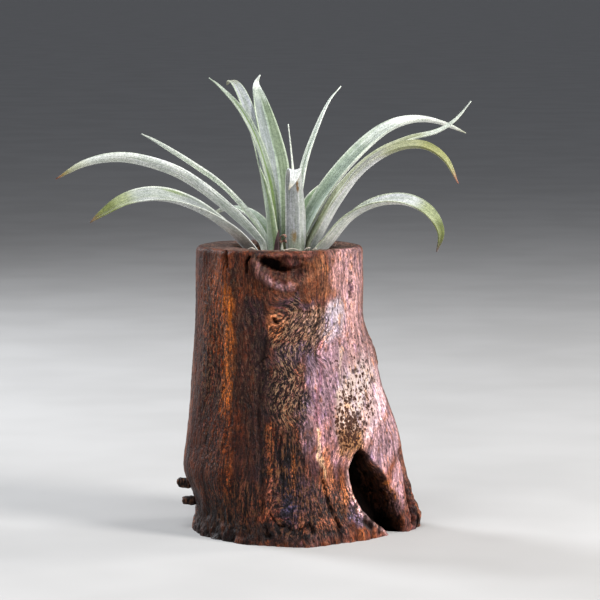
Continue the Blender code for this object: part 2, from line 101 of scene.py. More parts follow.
# Each leaf: its curve as in the solids, then the colours of its two faces, its margin, the stripe along its
# channel and its tip, as sRGB values
LEAVES = {
    "leaf_left_low": dict(
        ring=4, azimuth=200, wrap=33, width=11.2, turn=94, roll=(0, -34), taper=2.6,
        path=((9.2, 72.0), (13.0, 76.8), (18.6, 81.8), (25.0, 85.9), (31.5, 88.6), (38.0, 89.6),
              (45.0, 88.6), (51.4, 85.4), (54.4, 83.5)),
        outer=(206, 208, 208), inner=(172, 176, 174), stripe=(164, 169, 162), margin=(216, 218, 214), channel=0.15,
        bands=(("in", (0.02, 0.16), (0.34, 0.60), (114, 132, 66), 0.85), ("in", (-0.1, 1.1), (-0.1, 0.52),
                                                                        (140, 142, 147), 0.8)),
        tip=((0.80, (152, 159, 118)), (0.87, (112, 119, 58)), (0.96, (112, 100, 48)), (0.99, (134, 92, 64)))),
    "leaf_left_long": dict(
        ring=3, azimuth=180, wrap=33, width=8.4, turn=130, roll=(0, 40), taper=2.6,
        path=((6.6, 75.0), (8.6, 78.2), (15.1, 84.2), (23.1, 90.6), (31.3, 95.4), (42.9, 98.6),
              (53.0, 97.6), (61.4, 93.6)),
        outer=(232, 234, 232), inner=(222, 226, 221), stripe=(200, 207, 190), margin=(240, 241, 239), channel=0.2,
        tip=((0.90, (196, 198, 176)), (0.95, (164, 148, 84)), (0.985, (140, 70, 52)))),
    "leaf_left_thin": dict(
        ring=2, azimuth=171.5, wrap=18, width=5.0, turn=100, roll=(0, 20), taper=4.0,
        path=((5.5, 76.0), (7.9, 80.6), (12.6, 86.5), (18.2, 92.0), (27.0, 98.0), (35.0, 103.0),
              (39.2, 105.3)),
        outer=(240, 242, 238), inner=(236, 239, 234), stripe=(222, 227, 216), margin=(244, 245, 242), channel=0.25,
        tip=((0.93, (244, 245, 243)),)),
    "leaf_short_left": dict(
        ring=2, azimuth=219, wrap=15, width=5.8, turn=100, roll=(0, -10), taper=2.0,
        path=((5.4, 76.0), (6.0, 82.0), (6.7, 88.0), (7.8, 93.0), (9.2, 97.2)),
        outer=(176, 188, 170), inner=(150, 166, 138), stripe=(110, 132, 84), margin=(226, 234, 206),
        bands=(("out", (0.70, 0.90), (0.1, 0.95), (140, 160, 112), 0.8), ("out", (0.08, 0.3), (0.1, 0.95),
                                                                         (190, 196, 192), 0.7)),
        tip=()),
    "leaf_tall_narrow": dict(
        ring=0, azimuth=168, wrap=34, width=5.8, turn=95, roll=(0, -45), taper=1.4,
        path=((3.1, 78.0), (4.0, 87.0), (5.4, 94.6), (8.2, 103.6), (12.4, 111.6), (17.8, 117.6),
              (21.2, 120.3)),
        outer=(160, 166, 164), inner=(136, 147, 134), stripe=(98, 120, 66), margin=(182, 190, 174), channel=0.26,
        bands=(("in", (0.62, 0.9), (0.1, 0.9), (156, 163, 158), 0.8), ("in", (0.25, 0.6), (0.1, 0.42),
                                                                      (98, 122, 52), 0.8)),
        tip=((0.88, (180, 188, 176)),)),
    "leaf_tall_blunt": dict(
        ring=2, azimuth=133, wrap=17, width=4.8, turn=80, roll=(0, 0), sway=-6.2, taper=9.0, blade_from=0.55,
        path=((5.4, 77.0), (6.9, 86.0), (9.5, 96.0), (13.8, 105.4), (19.6, 113.4), (24.4, 117.6),
              (28.0, 118.6), (30.8, 117.6)),
        outer=(160, 164, 162), inner=(164, 167, 175), stripe=(156, 160, 162), margin=(196, 204, 186),
        bands=(("in", (0.40, 0.72), (0.1, 0.55), (126, 144, 102), 0.8), ("in", (0.05, 0.20), (0.1, 0.66),
                                                                        (104, 124, 56), 0.85)),
        tip=((0.93, (150, 150, 118)), (0.975, (132, 130, 92)))),
    "leaf_tall_wide": dict(
        ring=1, azimuth=119, wrap=24, width=8.4, turn=80, roll=(0, 0), sway=-4.6, taper=3.6, blade_from=0.5,
        path=((4.1, 78.0), (4.8, 88.0), (7.8, 98.0), (13.2, 106.6), (19.4, 113.6), (24.2, 118.0),
              (23.4, 120.4)),
        outer=SILVER, inner=(138, 144, 147), stripe=(136, 142, 143), margin=(184, 194, 174), channel=0.1,
        bands=(("in", (0.03, 0.38), (0.05, 0.86), (114, 129, 100), 0.85), ("in", (0.39, 0.44), (0.1, 0.84),
                                                                        (166, 182, 158), 0.85),
               ("in", (0.78, 0.95), (0.1, 0.5), (126, 142, 112), 0.6)),
        tip=((0.86, (170, 178, 170)), (0.93, (236, 238, 236)))),
    "leaf_centre_spike": dict(
        ring=0, azimuth=340, wrap=24, width=3.4, turn=70, roll=(0, 0), taper=0.8,
        path=((2.8, 78.0), (2.4, 88.0), (1.7, 97.0), (0.4, 108.2)),
        outer=WHITE, inner=WHITE, stripe=(205, 210, 200), margin=WHITE, tip=()),
    "leaf_tall_right": dict(
        ring=0, azimuth=50, wrap=22, width=3.4, turn=110, roll=(0, 0), taper=1.6,
        path=((3.2, 78.0), (4.8, 87.0), (7.6, 97.4), (12.4, 106.4), (17.6, 113.6), (22.6, 117.6)),
        outer=(222, 225, 222), inner=(216, 221, 216), stripe=(152, 166, 142), margin=(236, 238, 234), channel=0.12,
        tip=()),
    "leaf_right_high": dict(
        ring=1, azimuth=38.6, wrap=29, width=7.1, turn=120, roll=(0, 10), taper=4.6,
        path=((4.7, 76.0), (9.2, 83.8), (17.0, 92.6), (26.4, 100.4), (35.0, 105.4), (43.6, 107.5),
              (52.6, 107.0), (63.4, 103.8)),
        outer=(224, 226, 224), inner=(170, 180, 171), stripe=(156, 168, 155), margin=(200, 206, 196),
        bands=(("in", (-0.1, 1.1), (-0.1, 0.42), (150, 164, 150), 0.85),),
        tip=((0.54, (196, 201, 197)), (0.67, (226, 228, 225)), (0.97, (190, 190, 170)))),
    "leaf_right_wavy": dict(
        ring=2, azimuth=18.4, wrap=19, width=4.3, turn=110, roll=(0, 24), taper=2.4, blade_from=0.6,
        path=((5.8, 75.6), (9.3, 82.0), (15.6, 91.2), (24.8, 99.2), (34.2, 103.4), (42.4, 105.4),
              (47.8, 108.5), (52.4, 113.6)),
        outer=(206, 210, 202), inner=(164, 166, 140), stripe=(132, 136, 96), margin=(198, 202, 180), channel=0.3,
        tip=((0.78, (208, 212, 204)),)),
    "leaf_right_broad": dict(
        ring=3, azimuth=349, wrap=30, width=8.2, turn=110, roll=(0, 22), taper=2.8,
        path=((7.2, 74.6), (10.4, 80.4), (14.8, 88.2), (21.0, 96.2), (29.0, 101.4), (36.5, 102.5),
              (42.3, 99.2), (46.0, 93.0)),
        outer=(198, 197, 200), inner=(160, 157, 149), stripe=(146, 144, 131), margin=(184, 184, 171),
        bands=(("in", (0.5, 0.95), (0.0, 0.4), (152, 160, 139), 0.6), ("out", (0.55, 0.95), (0.45, 0.75),
                                                                      (176, 176, 152), 0.5)),
        tip=((0.64, (166, 166, 130)), (0.78, (148, 148, 96)), (0.965, (160, 116, 84)), (1.0, (160, 90, 72)))),
    "leaf_right_low": dict(
        ring=4, azimuth=335, wrap=30, width=8.6, turn=115, roll=(0, 28), taper=2.8,
        path=((9.0, 72.6), (13.4, 77.4), (19.0, 83.6), (26.0, 87.4), (34.1, 88.4), (40.6, 85.9),
              (44.0, 81.0), (43.2, 75.8)),
        outer=(222, 224, 222), inner=(214, 215, 219), stripe=(204, 206, 208), margin=(206, 211, 190),
        bands=(("in", (0.04, 0.2), (0.5, 0.97), (114, 126, 56), 0.85), ("in", (0.8, 0.96), (0.1, 0.5),
                                                                        (166, 176, 150), 0.6)),
        tip=((0.76, (158, 164, 126)), (0.86, (108, 115, 60)), (0.94, (94, 96, 46)), (0.985, (100, 74, 70)))),
    "leaf_front_hooked": dict(
        ring=3, azimuth=295, wrap=19, width=6.4, turn=80, roll=(0, 0), sway=-6.6, taper=4.0,
        path=((6.4, 75.0), (6.9, 84.0), (7.7, 91.4), (9.6, 95.8), (12.6, 96.4), (14.6, 94.4), (15.4, 92.0)),
        # The outer face's darker grey-lavender is partly its own colour and partly painted shade on its left; its first
        # band is painted light down its right side, where the light falls
        outer=(144, 146, 150), inner=(186, 189, 189), stripe=(176, 181, 177), margin=(210, 211, 210), channel=0.1,
        bands=(("out", (0.56, 0.92), (0.12, 0.92), (190, 192, 194), 0.9), ("out", (0.1, 0.9), (0.1, 0.26),
                                                                        (118, 126, 104), 0.7)),
        marks=(("out", (0.50, 0.70), (0.60, 0.72), (104, 74, 26), 0.2), ("out", (0.46, 0.76), (0.68, 0.78),
                                                                        (146, 126, 86), 0.15),
               ("out", (0.2, 0.5), (0.24, 0.36), (120, 102, 68), 0.1)),
        tip=((0.78, (214, 214, 218)), (0.97, (200, 194, 182)))),
    "leaf_back_low": dict(
        ring=4, azimuth=92, wrap=31, width=7.4, turn=110, roll=(0, 0),
        path=((8.8, 73.0), (13.0, 79.0), (20.0, 84.6), (28.0, 87.0), (36.0, 85.4), (43.0, 80.6)),
        outer=SILVER, inner=GREY_GREEN, stripe=(104, 128, 78), margin=(206, 212, 196),
        tip=((0.84, (168, 166, 110)), (0.96, (140, 86, 62)))),
    "leaf_back_right": dict(
        ring=3, azimuth=66, wrap=27, width=6.6, turn=110, roll=(0, 0),
        path=((7.0, 74.6), (11.0, 80.6), (18.0, 86.4), (27.0, 89.8), (34.0, 89.6), (40.0, 87.4)),
        outer=(212, 216, 212), inner=(132, 152, 122), stripe=(106, 130, 80), margin=(210, 215, 200),
        tip=((0.86, (176, 182, 156)), (0.97, (150, 148, 124)))),
    "leaf_back_left": dict(
        ring=3, azimuth=124, wrap=19, width=5.6, turn=110, roll=(0, 0),
        path=((7.0, 74.6), (11.4, 79.4), (18.0, 82.8), (26.0, 84.0), (33.0, 82.9), (38.4, 80.4)),
        outer=(208, 212, 208), inner=(146, 158, 146), stripe=(122, 138, 112), margin=(208, 214, 200),
        tip=((0.84, (176, 182, 158)), (0.96, (150, 148, 124)))),
    "leaf_back_short": dict(
        ring=2, azimuth=87, wrap=14, width=4.0, turn=100, roll=(0, 0),
        path=((5.5, 76.0), (7.4, 82.0), (10.6, 87.0), (15.0, 90.2), (20.0, 91.0)),
        outer=(212, 216, 212), inner=(142, 160, 130), stripe=(112, 136, 84), margin=(214, 218, 204),
        tip=((0.9, (176, 172, 120)),)),
    "withered_leaf": dict(
        ring=3, azimuth=246, wrap=12, width=2.4, turn=90, roll=(0, 60), sway=0.4,
        path=((6.3, 73.0), (6.4, 77.0), (6.0, 80.6)), dry=True,
        outer=(74, 50, 54), inner=(58, 38, 40), stripe=(48, 30, 32), margin=(96, 66, 62), tip=()),
    "dry_stub": dict(
        ring=4, azimuth=260, wrap=6, width=1.5, turn=60, roll=(0, 0),
        path=((7.4, 71.0), (7.4, 75.0), (7.0, 77.8)), dry=True,
        outer=(206, 204, 196), inner=(196, 192, 182), stripe=(186, 180, 168), margin=(214, 212, 204), tip=()),
}


# ---- Curves


def smooth_path(points, count):
    """Points at even steps along a smooth curve through the given ones."""
    spine = [Vector(p) for p in points]
    spine = [2 * spine[0] - spine[1]] + spine + [2 * spine[-1] - spine[-2]]
    dense = []
    steps = 24
    for a, b, c, d in zip(spine, spine[1:], spine[2:], spine[3:]):
        for k in range(steps):
            t = k / steps
            dense.append(0.5 * (2 * b + (c - a) * t + (2 * a - 5 * b + 4 * c - d) * t**2
                                + (3 * b - a - 3 * c + d) * t**3))
    dense.append(spine[-2])
    travelled = [0.0]
    for p, q in zip(dense, dense[1:]):
        travelled.append(travelled[-1] + (q - p).length)
    result = []
    j = 0
    for k in range(count):
        goal = travelled[-1] * k / (count - 1)
        while j < len(dense) - 2 and travelled[j + 1] < goal:
            j += 1
        t = (goal - travelled[j]) / (travelled[j + 1] - travelled[j])
        result.append(dense[j].lerp(dense[j + 1], t))
    return result, travelled[-1]


def blend(start, end, t):
    t = max(0.0, min(1.0, t))
    return start + (end - start) * t * t * (3 - 2 * t)


def curve_at(points, at):
    """Values at many heights, from a list of (height, value), by a smooth curve through the points."""
    heights = np.array([p[0] for p in points], float)
    values = np.array([p[1] for p in points], float)
    last = len(points) - 2
    i = np.clip(np.searchsorted(heights, at, side="right") - 1, 0, last)
    before, after = np.maximum(0, i - 1), np.minimum(last + 1, i + 2)
    span = heights[i + 1] - heights[i]
    t = np.clip((at - heights[i]) / span, 0.0, 1.0)
    slope_in = (values[i + 1] - values[before]) / (heights[i + 1] - heights[before]) * span
    slope_out = (values[after] - values[i]) / (heights[after] - heights[i]) * span
    return (values[i] * (2 * t**3 - 3 * t**2 + 1) + slope_in * (t**3 - 2 * t**2 + t)
            + values[i + 1] * (3 * t**2 - 2 * t**3) + slope_out * (t**3 - t**2))


def smooth(low, high, value):
    """0 below low, 1 above high, and a soft step between; low may be the larger."""
    t = np.clip((value - low) / (high - low), 0.0, 1.0)
    return t * t * (3 - 2 * t)


def noise_at(points, scale, shift=0.0):
    """Soft noise from -1 to 1 at many points in millimetres; scale is its size along X, Y and Z."""
    return np.array([noise.noise(p) for p in (points / np.array(scale) + shift).tolist()])


def from_line(points, line):
    """Distance from many points to a line of points, all in millimetres."""
    best = np.full(len(points), 1e9)
    for a, b in zip(line, line[1:]):
        a, b = np.array(a, float), np.array(b, float)
        t = np.clip(((points - a) @ (b - a)) / ((b - a) @ (b - a)), 0, 1)
        best = np.minimum(best, np.linalg.norm(points - a - t[:, None] * (b - a), axis=1))
    return best


# ---- Materials


def linear(colour):
    """sRGB values from 0 to 255 as a linear colour."""
    return tuple((c / 255 / 12.92) if c <= 10 else ((c / 255 + 0.055) / 1.055) ** 2.4 for c in colour)


class Look:
    """A node material built up by small steps, each returning the socket that it makes."""

    def __init__(self, name, colour):
        self.material = bpy.data.materials.new(name)
        self.material.use_nodes = True
        self.material.diffuse_color = (*linear(colour), 1.0)
        self.tree = self.material.node_tree
        self.shader = self.tree.nodes["Principled BSDF"]

    def node(self, kind, **settings):
        made = self.tree.nodes.new("ShaderNode" + kind)
        for key, value in settings.items():
            setattr(made, key, value)
        return made

    def put(self, socket, value):
        if isinstance(value, bpy.types.NodeSocket):
            self.tree.links.new(value, socket)
        elif isinstance(value, tuple) and socket.type == "RGBA" and len(value) == 3:
            socket.default_value = (*value, 1.0)
        else:
            socket.default_value = value

    def math(self, operation, a, b=0.0, c=0.0):
        node = self.node("Math", operation=operation)
        for socket, value in zip(node.inputs, (a, b, c)):
            self.put(socket, value)
        return node.outputs[0]

    def step(self, value, low, high, out_low=0.0, out_high=1.0):
        node = self.node("MapRange", interpolation_type="SMOOTHSTEP")
        for socket, item in zip(node.inputs, (value, low, high, out_low, out_high)):
            self.put(socket, item)
        return node.outputs[0]

    def mix(self, factor, a, b, blend_type="MIX"):
        node = self.node("Mix", data_type="RGBA", blend_type=blend_type)
        self.put(node.inputs["Factor"], factor)
        colours = [s for s in node.inputs if s.type == "RGBA"]
        self.put(colours[0], a)
        self.put(colours[1], b)
        return [s for s in node.outputs if s.type == "RGBA"][0]

    def place(self, scale, kind="Object", turn=(0.0, 0.0, 0.0)):
        """Object coordinates in millimetres divided by a size along each axis."""
        source = self.node("TexCoord").outputs[kind]
        mapping = self.node("Mapping")
        self.put(mapping.inputs["Vector"], source)
        mapping.inputs["Scale"].default_value = tuple(1 / (s * MM) for s in scale)
        mapping.inputs["Rotation"].default_value = turn
        return mapping.outputs[0]

    def scaled(self, vector, size):
        """A vector in millimetres divided by a size along each axis."""
        node = self.node("VectorMath", operation="DIVIDE")
        self.put(node.inputs[0], vector)
        self.put(node.inputs[1], size)
        return node.outputs[0]

    def noise(self, vector, scale=1.0, detail=4.0, roughness=0.6, distortion=0.0):
        node = self.node("TexNoise")
        self.put(node.inputs["Vector"], vector)
        self.put(node.inputs["Scale"], scale)
        self.put(node.inputs["Detail"], detail)
        self.put(node.inputs["Roughness"], roughness)
        self.put(node.inputs["Distortion"], distortion)
        return node.outputs["Fac"]

    def cells(self, vector, feature="F1", randomness=1.0):
        node = self.node("TexVoronoi", feature=feature)
        self.put(node.inputs["Vector"], vector)
        self.put(node.inputs["Scale"], 1.0)
        self.put(node.inputs["Randomness"], randomness)
        return node.outputs["Distance"]

    def attribute(self, name, output="Fac"):
        return self.node("Attribute", attribute_name=name).outputs[output]

    def bump(self, height, depth, strength=1.0, normal=None):
        node = self.node("Bump")
        node.inputs["Strength"].default_value = strength
        node.inputs["Distance"].default_value = depth * MM
        self.put(node.inputs["Height"], height)
        if normal is not None:
            self.put(node.inputs["Normal"], normal)
        return node.outputs[0]

    def set(self, **values):
        for key, value in values.items():
            self.put(self.shader.inputs[key.replace("_", " ")], value)
        return self.material


def wood_look(name, specular):
    """Weathered driftwood: the painted tone along the bent grain, broken by fibres, pores, dust and worn flakes."""
    look = Look(name, (110, 65, 45))
    tone = look.attribute("tone", "Color")
    flaky = look.attribute("flaky")
    worn = look.attribute("worn")
    shade = look.attribute("shade")
    grain = look.attribute("grain", "Vector")
    long_fibre = look.noise(look.scaled(grain, (1.4, 1.4, 20.0)), detail=4.0, roughness=0.6)
    fibre = look.noise(look.scaled(grain, (0.62, 0.62, 5.0)), detail=3.0, roughness=0.7)
    hair = look.noise(look.scaled(grain, (0.46, 0.46, 1.1)), detail=2.0, roughness=0.7)
    grit = look.noise(look.place((0.62, 0.62, 0.70)), detail=2.0, roughness=0.8)
    tint = look.noise(look.scaled(grain, (1.1, 1.1, 4.0)), detail=3.0, roughness=0.7)
    pores = look.cells(look.scaled(grain, (0.90, 0.90, 2.0)))

    clean = look.step(worn, 0.1, 0.5, 1.0, 0.35)
    coarse = look.math("MULTIPLY", clean, look.step(flaky, 0.1, 0.38, 0.34, 1.0))
    fibrous = look.math("MULTIPLY", clean, look.step(flaky, 0.1, 0.38, 0.62, 1.0))
    colour = look.mix(clean, tone, look.mix(1.0, tone, look.mix(look.step(long_fibre, 0.38, 0.64), (0.66, 0.62, 0.62),
                                                                (1.34, 1.32, 1.28)), "MULTIPLY"))
    colour = look.mix(fibrous, colour, look.mix(1.0, colour, look.mix(look.step(fibre, 0.38, 0.62), (0.40, 0.37, 0.37),
                                                                      (1.64, 1.62, 1.56)), "MULTIPLY"))
    colour = look.mix(coarse, colour, look.mix(1.0, colour, look.mix(look.step(hair, 0.38, 0.62), (0.28, 0.26, 0.26),
                                                                     (1.80, 1.80, 1.78)), "MULTIPLY"))
    colour = look.mix(coarse, colour, look.mix(1.0, colour, look.mix(look.step(grit, 0.38, 0.62), (0.28, 0.26, 0.26),
                                                                     (1.78, 1.76, 1.76)), "MULTIPLY"))
    colour = look.mix(look.step(tint, 0.56, 0.66, 0.0, 0.8), colour,
                      look.mix(1.0, colour, (0.92, 0.92, 1.28), "MULTIPLY"))
    colour = look.mix(look.step(tint, 0.44, 0.34, 0.0, 0.8), colour,
                      look.mix(1.0, colour, (1.34, 0.96, 0.58), "MULTIPLY"))
    colour = look.mix(look.math("MULTIPLY", look.step(pores, 0.32, 0.20, 0.0, 0.65), clean), colour, linear((24, 14, 12)))

    split = look.node("SeparateXYZ")
    look.put(split.inputs[0], grain)
    high = look.step(split.outputs[2], 26.0, 38.0)
    short = look.noise(look.scaled(grain, (0.52, 0.52, 1.5)), detail=3.0, roughness=0.85)
    drawn_out = look.noise(look.scaled(grain, (0.62, 0.62, 4.6)), detail=3.0, roughness=0.8)
    threads = look.math("MULTIPLY_ADD", look.math("SUBTRACT", short, drawn_out), high, drawn_out)
    pale_thread = look.math("MULTIPLY", look.step(threads, 0.53, 0.58), flaky)
    dark_thread = look.math("MULTIPLY", look.step(threads, 0.49, 0.43), flaky)
    thread_tone = look.mix(high, linear((146, 96, 60)), linear((198, 156, 120)))
    colour = look.mix(look.math("MULTIPLY", pale_thread, 0.62), colour, thread_tone)
    colour = look.mix(look.math("MULTIPLY", dark_thread, 0.92), colour, linear((16, 11, 12)))
    eaten = look.math("SUBTRACT", look.cells(look.place((0.95, 0.95, 1.5))), look.math("MULTIPLY", worn, 0.46))
    eaten_small = look.math("SUBTRACT", look.cells(look.place((0.60, 0.60, 0.85))), look.math("MULTIPLY", worn, 0.40))
    eaten = look.math("MINIMUM", eaten, look.math("ADD", eaten_small, 0.02))
    eaten = look.math("MULTIPLY_ADD", look.math("SUBTRACT", grit, 0.5), 0.5, eaten)
    worm = look.math("MULTIPLY", look.step(eaten, 0.10, 0.02), look.step(worn, 0.15, 0.35))
    rusty = look.math("MULTIPLY", look.step(eaten, 0.20, 0.08), look.step(worn, 0.3, 0.9))
    colour = look.mix(look.math("MULTIPLY", rusty, 0.7), colour, linear((176, 116, 78)))
    colour = look.mix(look.math("MULTIPLY", worm, 0.95), colour, linear((62, 30, 18)))
    colour = look.mix(shade, colour, linear((12, 7, 6)))
    look.put(look.shader.inputs["Base Color"], colour)

    height = look.math("ADD", look.math("MULTIPLY", long_fibre, 1.0), look.math("MULTIPLY", fibre, 0.8))
    height = look.math("ADD", height, look.math("MULTIPLY", hair, 0.5))
    height = look.math("ADD", height, look.math("MULTIPLY", grit, 0.55))
    height = look.math("ADD", height, look.step(pores, 0.16, 0.34, -0.5, 0.0))
    height = look.math("SUBTRACT", height, look.math("MULTIPLY", dark_thread, 0.6))
    height = look.math("SUBTRACT", height, look.math("MULTIPLY", worm, 0.9))
    rough = look.math("MAXIMUM", look.step(fibre, 0.3, 0.7, 0.40, 0.66), shade)
    look.shader.inputs["Specular IOR Level"].default_value = specular
    return look.set(Roughness=rough, Normal=look.bump(height, 0.38))


def leaf_look(name, leaf):
    """A blade under silvery scales: two faces, pale margins, a green channel, bands, streaks, specks and the tip."""
    look = Look(name + "_surface", leaf["outer"])
    uv = look.node("UVMap", uv_map="blade").outputs[0]
    split = look.node("SeparateXYZ")
    look.put(split.inputs[0], uv)
    u, v = split.outputs[0], split.outputs[1]
    outer_side = look.math("GREATER_THAN", u, 1.5)
    inner_side = look.math("SUBTRACT", 1.0, outer_side)
    across = look.math("SUBTRACT", u, look.math("MULTIPLY", outer_side, 2.0))
    from_middle = look.math("MULTIPLY", look.math("ABSOLUTE", look.math("SUBTRACT", across, 0.5)), 2.0)
    streak_at = look.node("CombineXYZ")
    look.put(streak_at.inputs[0], look.math("MULTIPLY", u, leaf["width"] * 2.2))
    look.put(streak_at.inputs[1], look.math("MULTIPLY", v, leaf["length"] / 9.0))
    look.put(streak_at.inputs[2], leaf["seed"])
    streak = look.noise(streak_at.outputs[0], detail=4.0, roughness=0.6)
    sway = look.math("MULTIPLY", look.math("SUBTRACT", streak, 0.5), 0.22)
    broad = look.noise(look.place((3.4, 3.4, 3.4)), detail=2.0)
    specks = look.noise(look.place((0.40, 0.40, 0.40)), detail=2.0, roughness=0.8)
    scales = look.noise(look.place((0.85, 0.85, 0.85)), detail=2.0, roughness=0.75)

    channel = leaf.get("channel", 0.36)
    stripe = look.step(look.math("ADD", from_middle, sway), channel + 0.1, channel * 0.4)
    inner = look.mix(stripe, linear(leaf["inner"]), linear(leaf["stripe"]))
    colour = look.mix(outer_side, inner, linear(leaf["outer"]))
    along = look.math("ADD", v, look.math("MULTIPLY", sway, 0.5))
    beside = look.math("ADD", across, look.math("MULTIPLY", sway, 0.35))
    for face, (left, right), (start, end), tint, strength in leaf.get("bands", ()):
        mask = look.math("MULTIPLY", look.step(beside, left - 0.03, left + 0.03),
                         look.step(beside, right + 0.03, right - 0.03, 0.0, strength))
        mask = look.math("MULTIPLY", mask, look.math("MULTIPLY", look.step(along, start - 0.08, start + 0.04),
                                                     look.step(along, end + 0.08, end - 0.04)))
        colour = look.mix(look.math("MULTIPLY", mask, inner_side if face == "in" else outer_side), colour,
                          linear(tint))
    colour = look.mix(look.step(from_middle, 0.86, 0.95), colour, linear(leaf["margin"]))
    before = 0.06
    for start, tint in leaf["tip"]:
        colour = look.mix(look.step(along, start - before, start + 0.02), colour, linear(tint))
        before = 0.04
    if not leaf.get("dry"):
        colour = look.mix(look.step(v, 0.15, 0.04), colour, linear((140, 130, 92)))
    lines = look.mix(look.step(streak, 0.36, 0.68), (0.78, 0.82, 0.72), (1.16, 1.14, 1.15))
    colour = look.mix(1.0, colour, lines, "MULTIPLY")
    cloudy = look.mix(look.step(broad, 0.3, 0.7), (0.88, 0.90, 0.90), (1.08, 1.08, 1.06))
    colour = look.mix(1.0, colour, cloudy, "MULTIPLY")
    dotted = look.mix(look.step(specks, 0.38, 0.56), (0.50, 0.53, 0.50), (1.14, 1.14, 1.14))
    colour = look.mix(0.5, colour, dotted, "MULTIPLY")
    patchy = look.mix(look.step(scales, 0.36, 0.60), (0.70, 0.73, 0.70), (1.12, 1.12, 1.12))
    colour = look.mix(0.4, colour, patchy, "MULTIPLY")
    for face, (left, right), (start, end), tint, size in leaf.get("marks", ()):
        middle = ((left + right) / 2, (start + end) / 2)
        off = look.math("ADD", look.math("POWER", look.math("DIVIDE", look.math("SUBTRACT", beside, middle[0]),
                                                            (right - left) / 2), 2.0),
                        look.math("POWER", look.math("DIVIDE", look.math("SUBTRACT", v, middle[1]),
                                                     (end - start) / 2), 2.0))
        mask = look.math("MULTIPLY", look.step(off, 1.0, 0.2), look.step(scales, 0.62 - size, 0.52 - size * 0.4))
        mask = look.math("MULTIPLY", look.step(off, 1.2, 0.1), look.math("ADD", look.math("MULTIPLY", mask, 0.6), 0.4))
        colour = look.mix(look.math("MULTIPLY", mask, inner_side if face == "in" else outer_side), colour,
                          linear(tint))
    look.put(look.shader.inputs["Base Color"], colour)

    ribs_at = look.node("CombineXYZ")
    look.put(ribs_at.inputs[0], look.math("MULTIPLY", u, leaf["width"] * 2.6))
    look.put(ribs_at.inputs[1], look.math("MULTIPLY", v, leaf["length"] / 26.0))
    ribs = look.noise(ribs_at.outputs[0], detail=1.0)
    height = look.math("ADD", look.math("MULTIPLY", ribs, 0.9), look.math("MULTIPLY", specks, 0.35))
    height = look.math("ADD", height, look.math("MULTIPLY", scales, 0.3))
    look.set(Roughness=0.60, Specular_IOR_Level=0.35, Normal=look.bump(height, 0.18))
    look.shader.inputs["Sheen Weight"].default_value = 0.0 if leaf.get("dry") else 0.3
    look.shader.inputs["Sheen Roughness"].default_value = 0.45
    return look.material


# ---- The log


def log_angles():
    """Angles round the log, closest together at the front."""
    fine = np.linspace(-math.pi, math.pi, 4001)
    weight = 1.0 + 1.6 * smooth(-0.25, 0.35, -np.sin(fine))
    total = np.concatenate([[0], np.cumsum((weight[1:] + weight[:-1]) / 2)])
    return np.interp(np.arange(COLUMNS) / COLUMNS * total[-1], total, fine)


def log_skin(angle, height):
    """Points of the log's plain skin and the direction out of it, in millimetres."""
    left, right = curve_at(LOG_LEFT, height), curve_at(LOG_RIGHT, height)
    cos, sin = np.cos(angle), np.sin(angle)
    depth = np.where(sin > 0, curve_at(LOG_BACK, height), -curve_at(LOG_FRONT, height))
    pinching = np.where(sin > 0, curve_at(PINCH_BACK, height), curve_at(PINCH_FRONT, height))
    pinch = 1.0 - pinching * np.maximum(0.0, cos) ** 1.3
    swell = noise_at(np.stack([cos * 1.3, sin * 1.3, height / 24.0], 1), 1.0) * SWELL_DEPTH
    wander = noise_at(np.stack([cos, sin, height / 30.0], 1), 1.0)
    grain = np.sin(GRAIN_WAVES * angle + 2.0 * wander)
    proud = (swell + grain * GRAIN_DEPTH) * np.abs(sin)
    rounding = np.clip((height - (LOG_HEIGHT - EDGE_ROUND)) / EDGE_ROUND, 0, 1)
    proud -= EDGE_ROUND * (1.0 - np.sqrt(1.0 - rounding**2))
    half = (right - left) / 2
    points = np.stack([(left + right) / 2 + (half + proud) * cos, (depth * pinch + proud) * sin, height], 1)
    out = np.stack([cos * depth * pinch, sin * half, np.zeros_like(cos)], 1)
    return points, out / np.linalg.norm(out, axis=1)[:, None]


# Hollow between the roots: its left and right edge, in millimetres
HOLLOW_LEFT = ((0, 23.6), (1.5, 22.4), (4.2, 19.6), (8, 16.0), (13.2, 13.6), (18.4, 12.9), (21.5, 13.8), (23.8, 15.6))
HOLLOW_RIGHT = ((0, 27.4), (1.5, 27.9), (4.7, 27.3), (8, 26.6), (11.4, 25.0), (17.8, 21.0), (21.5, 18.2), (23.8, 16.2))
HOLLOW_DEPTH = 12.0

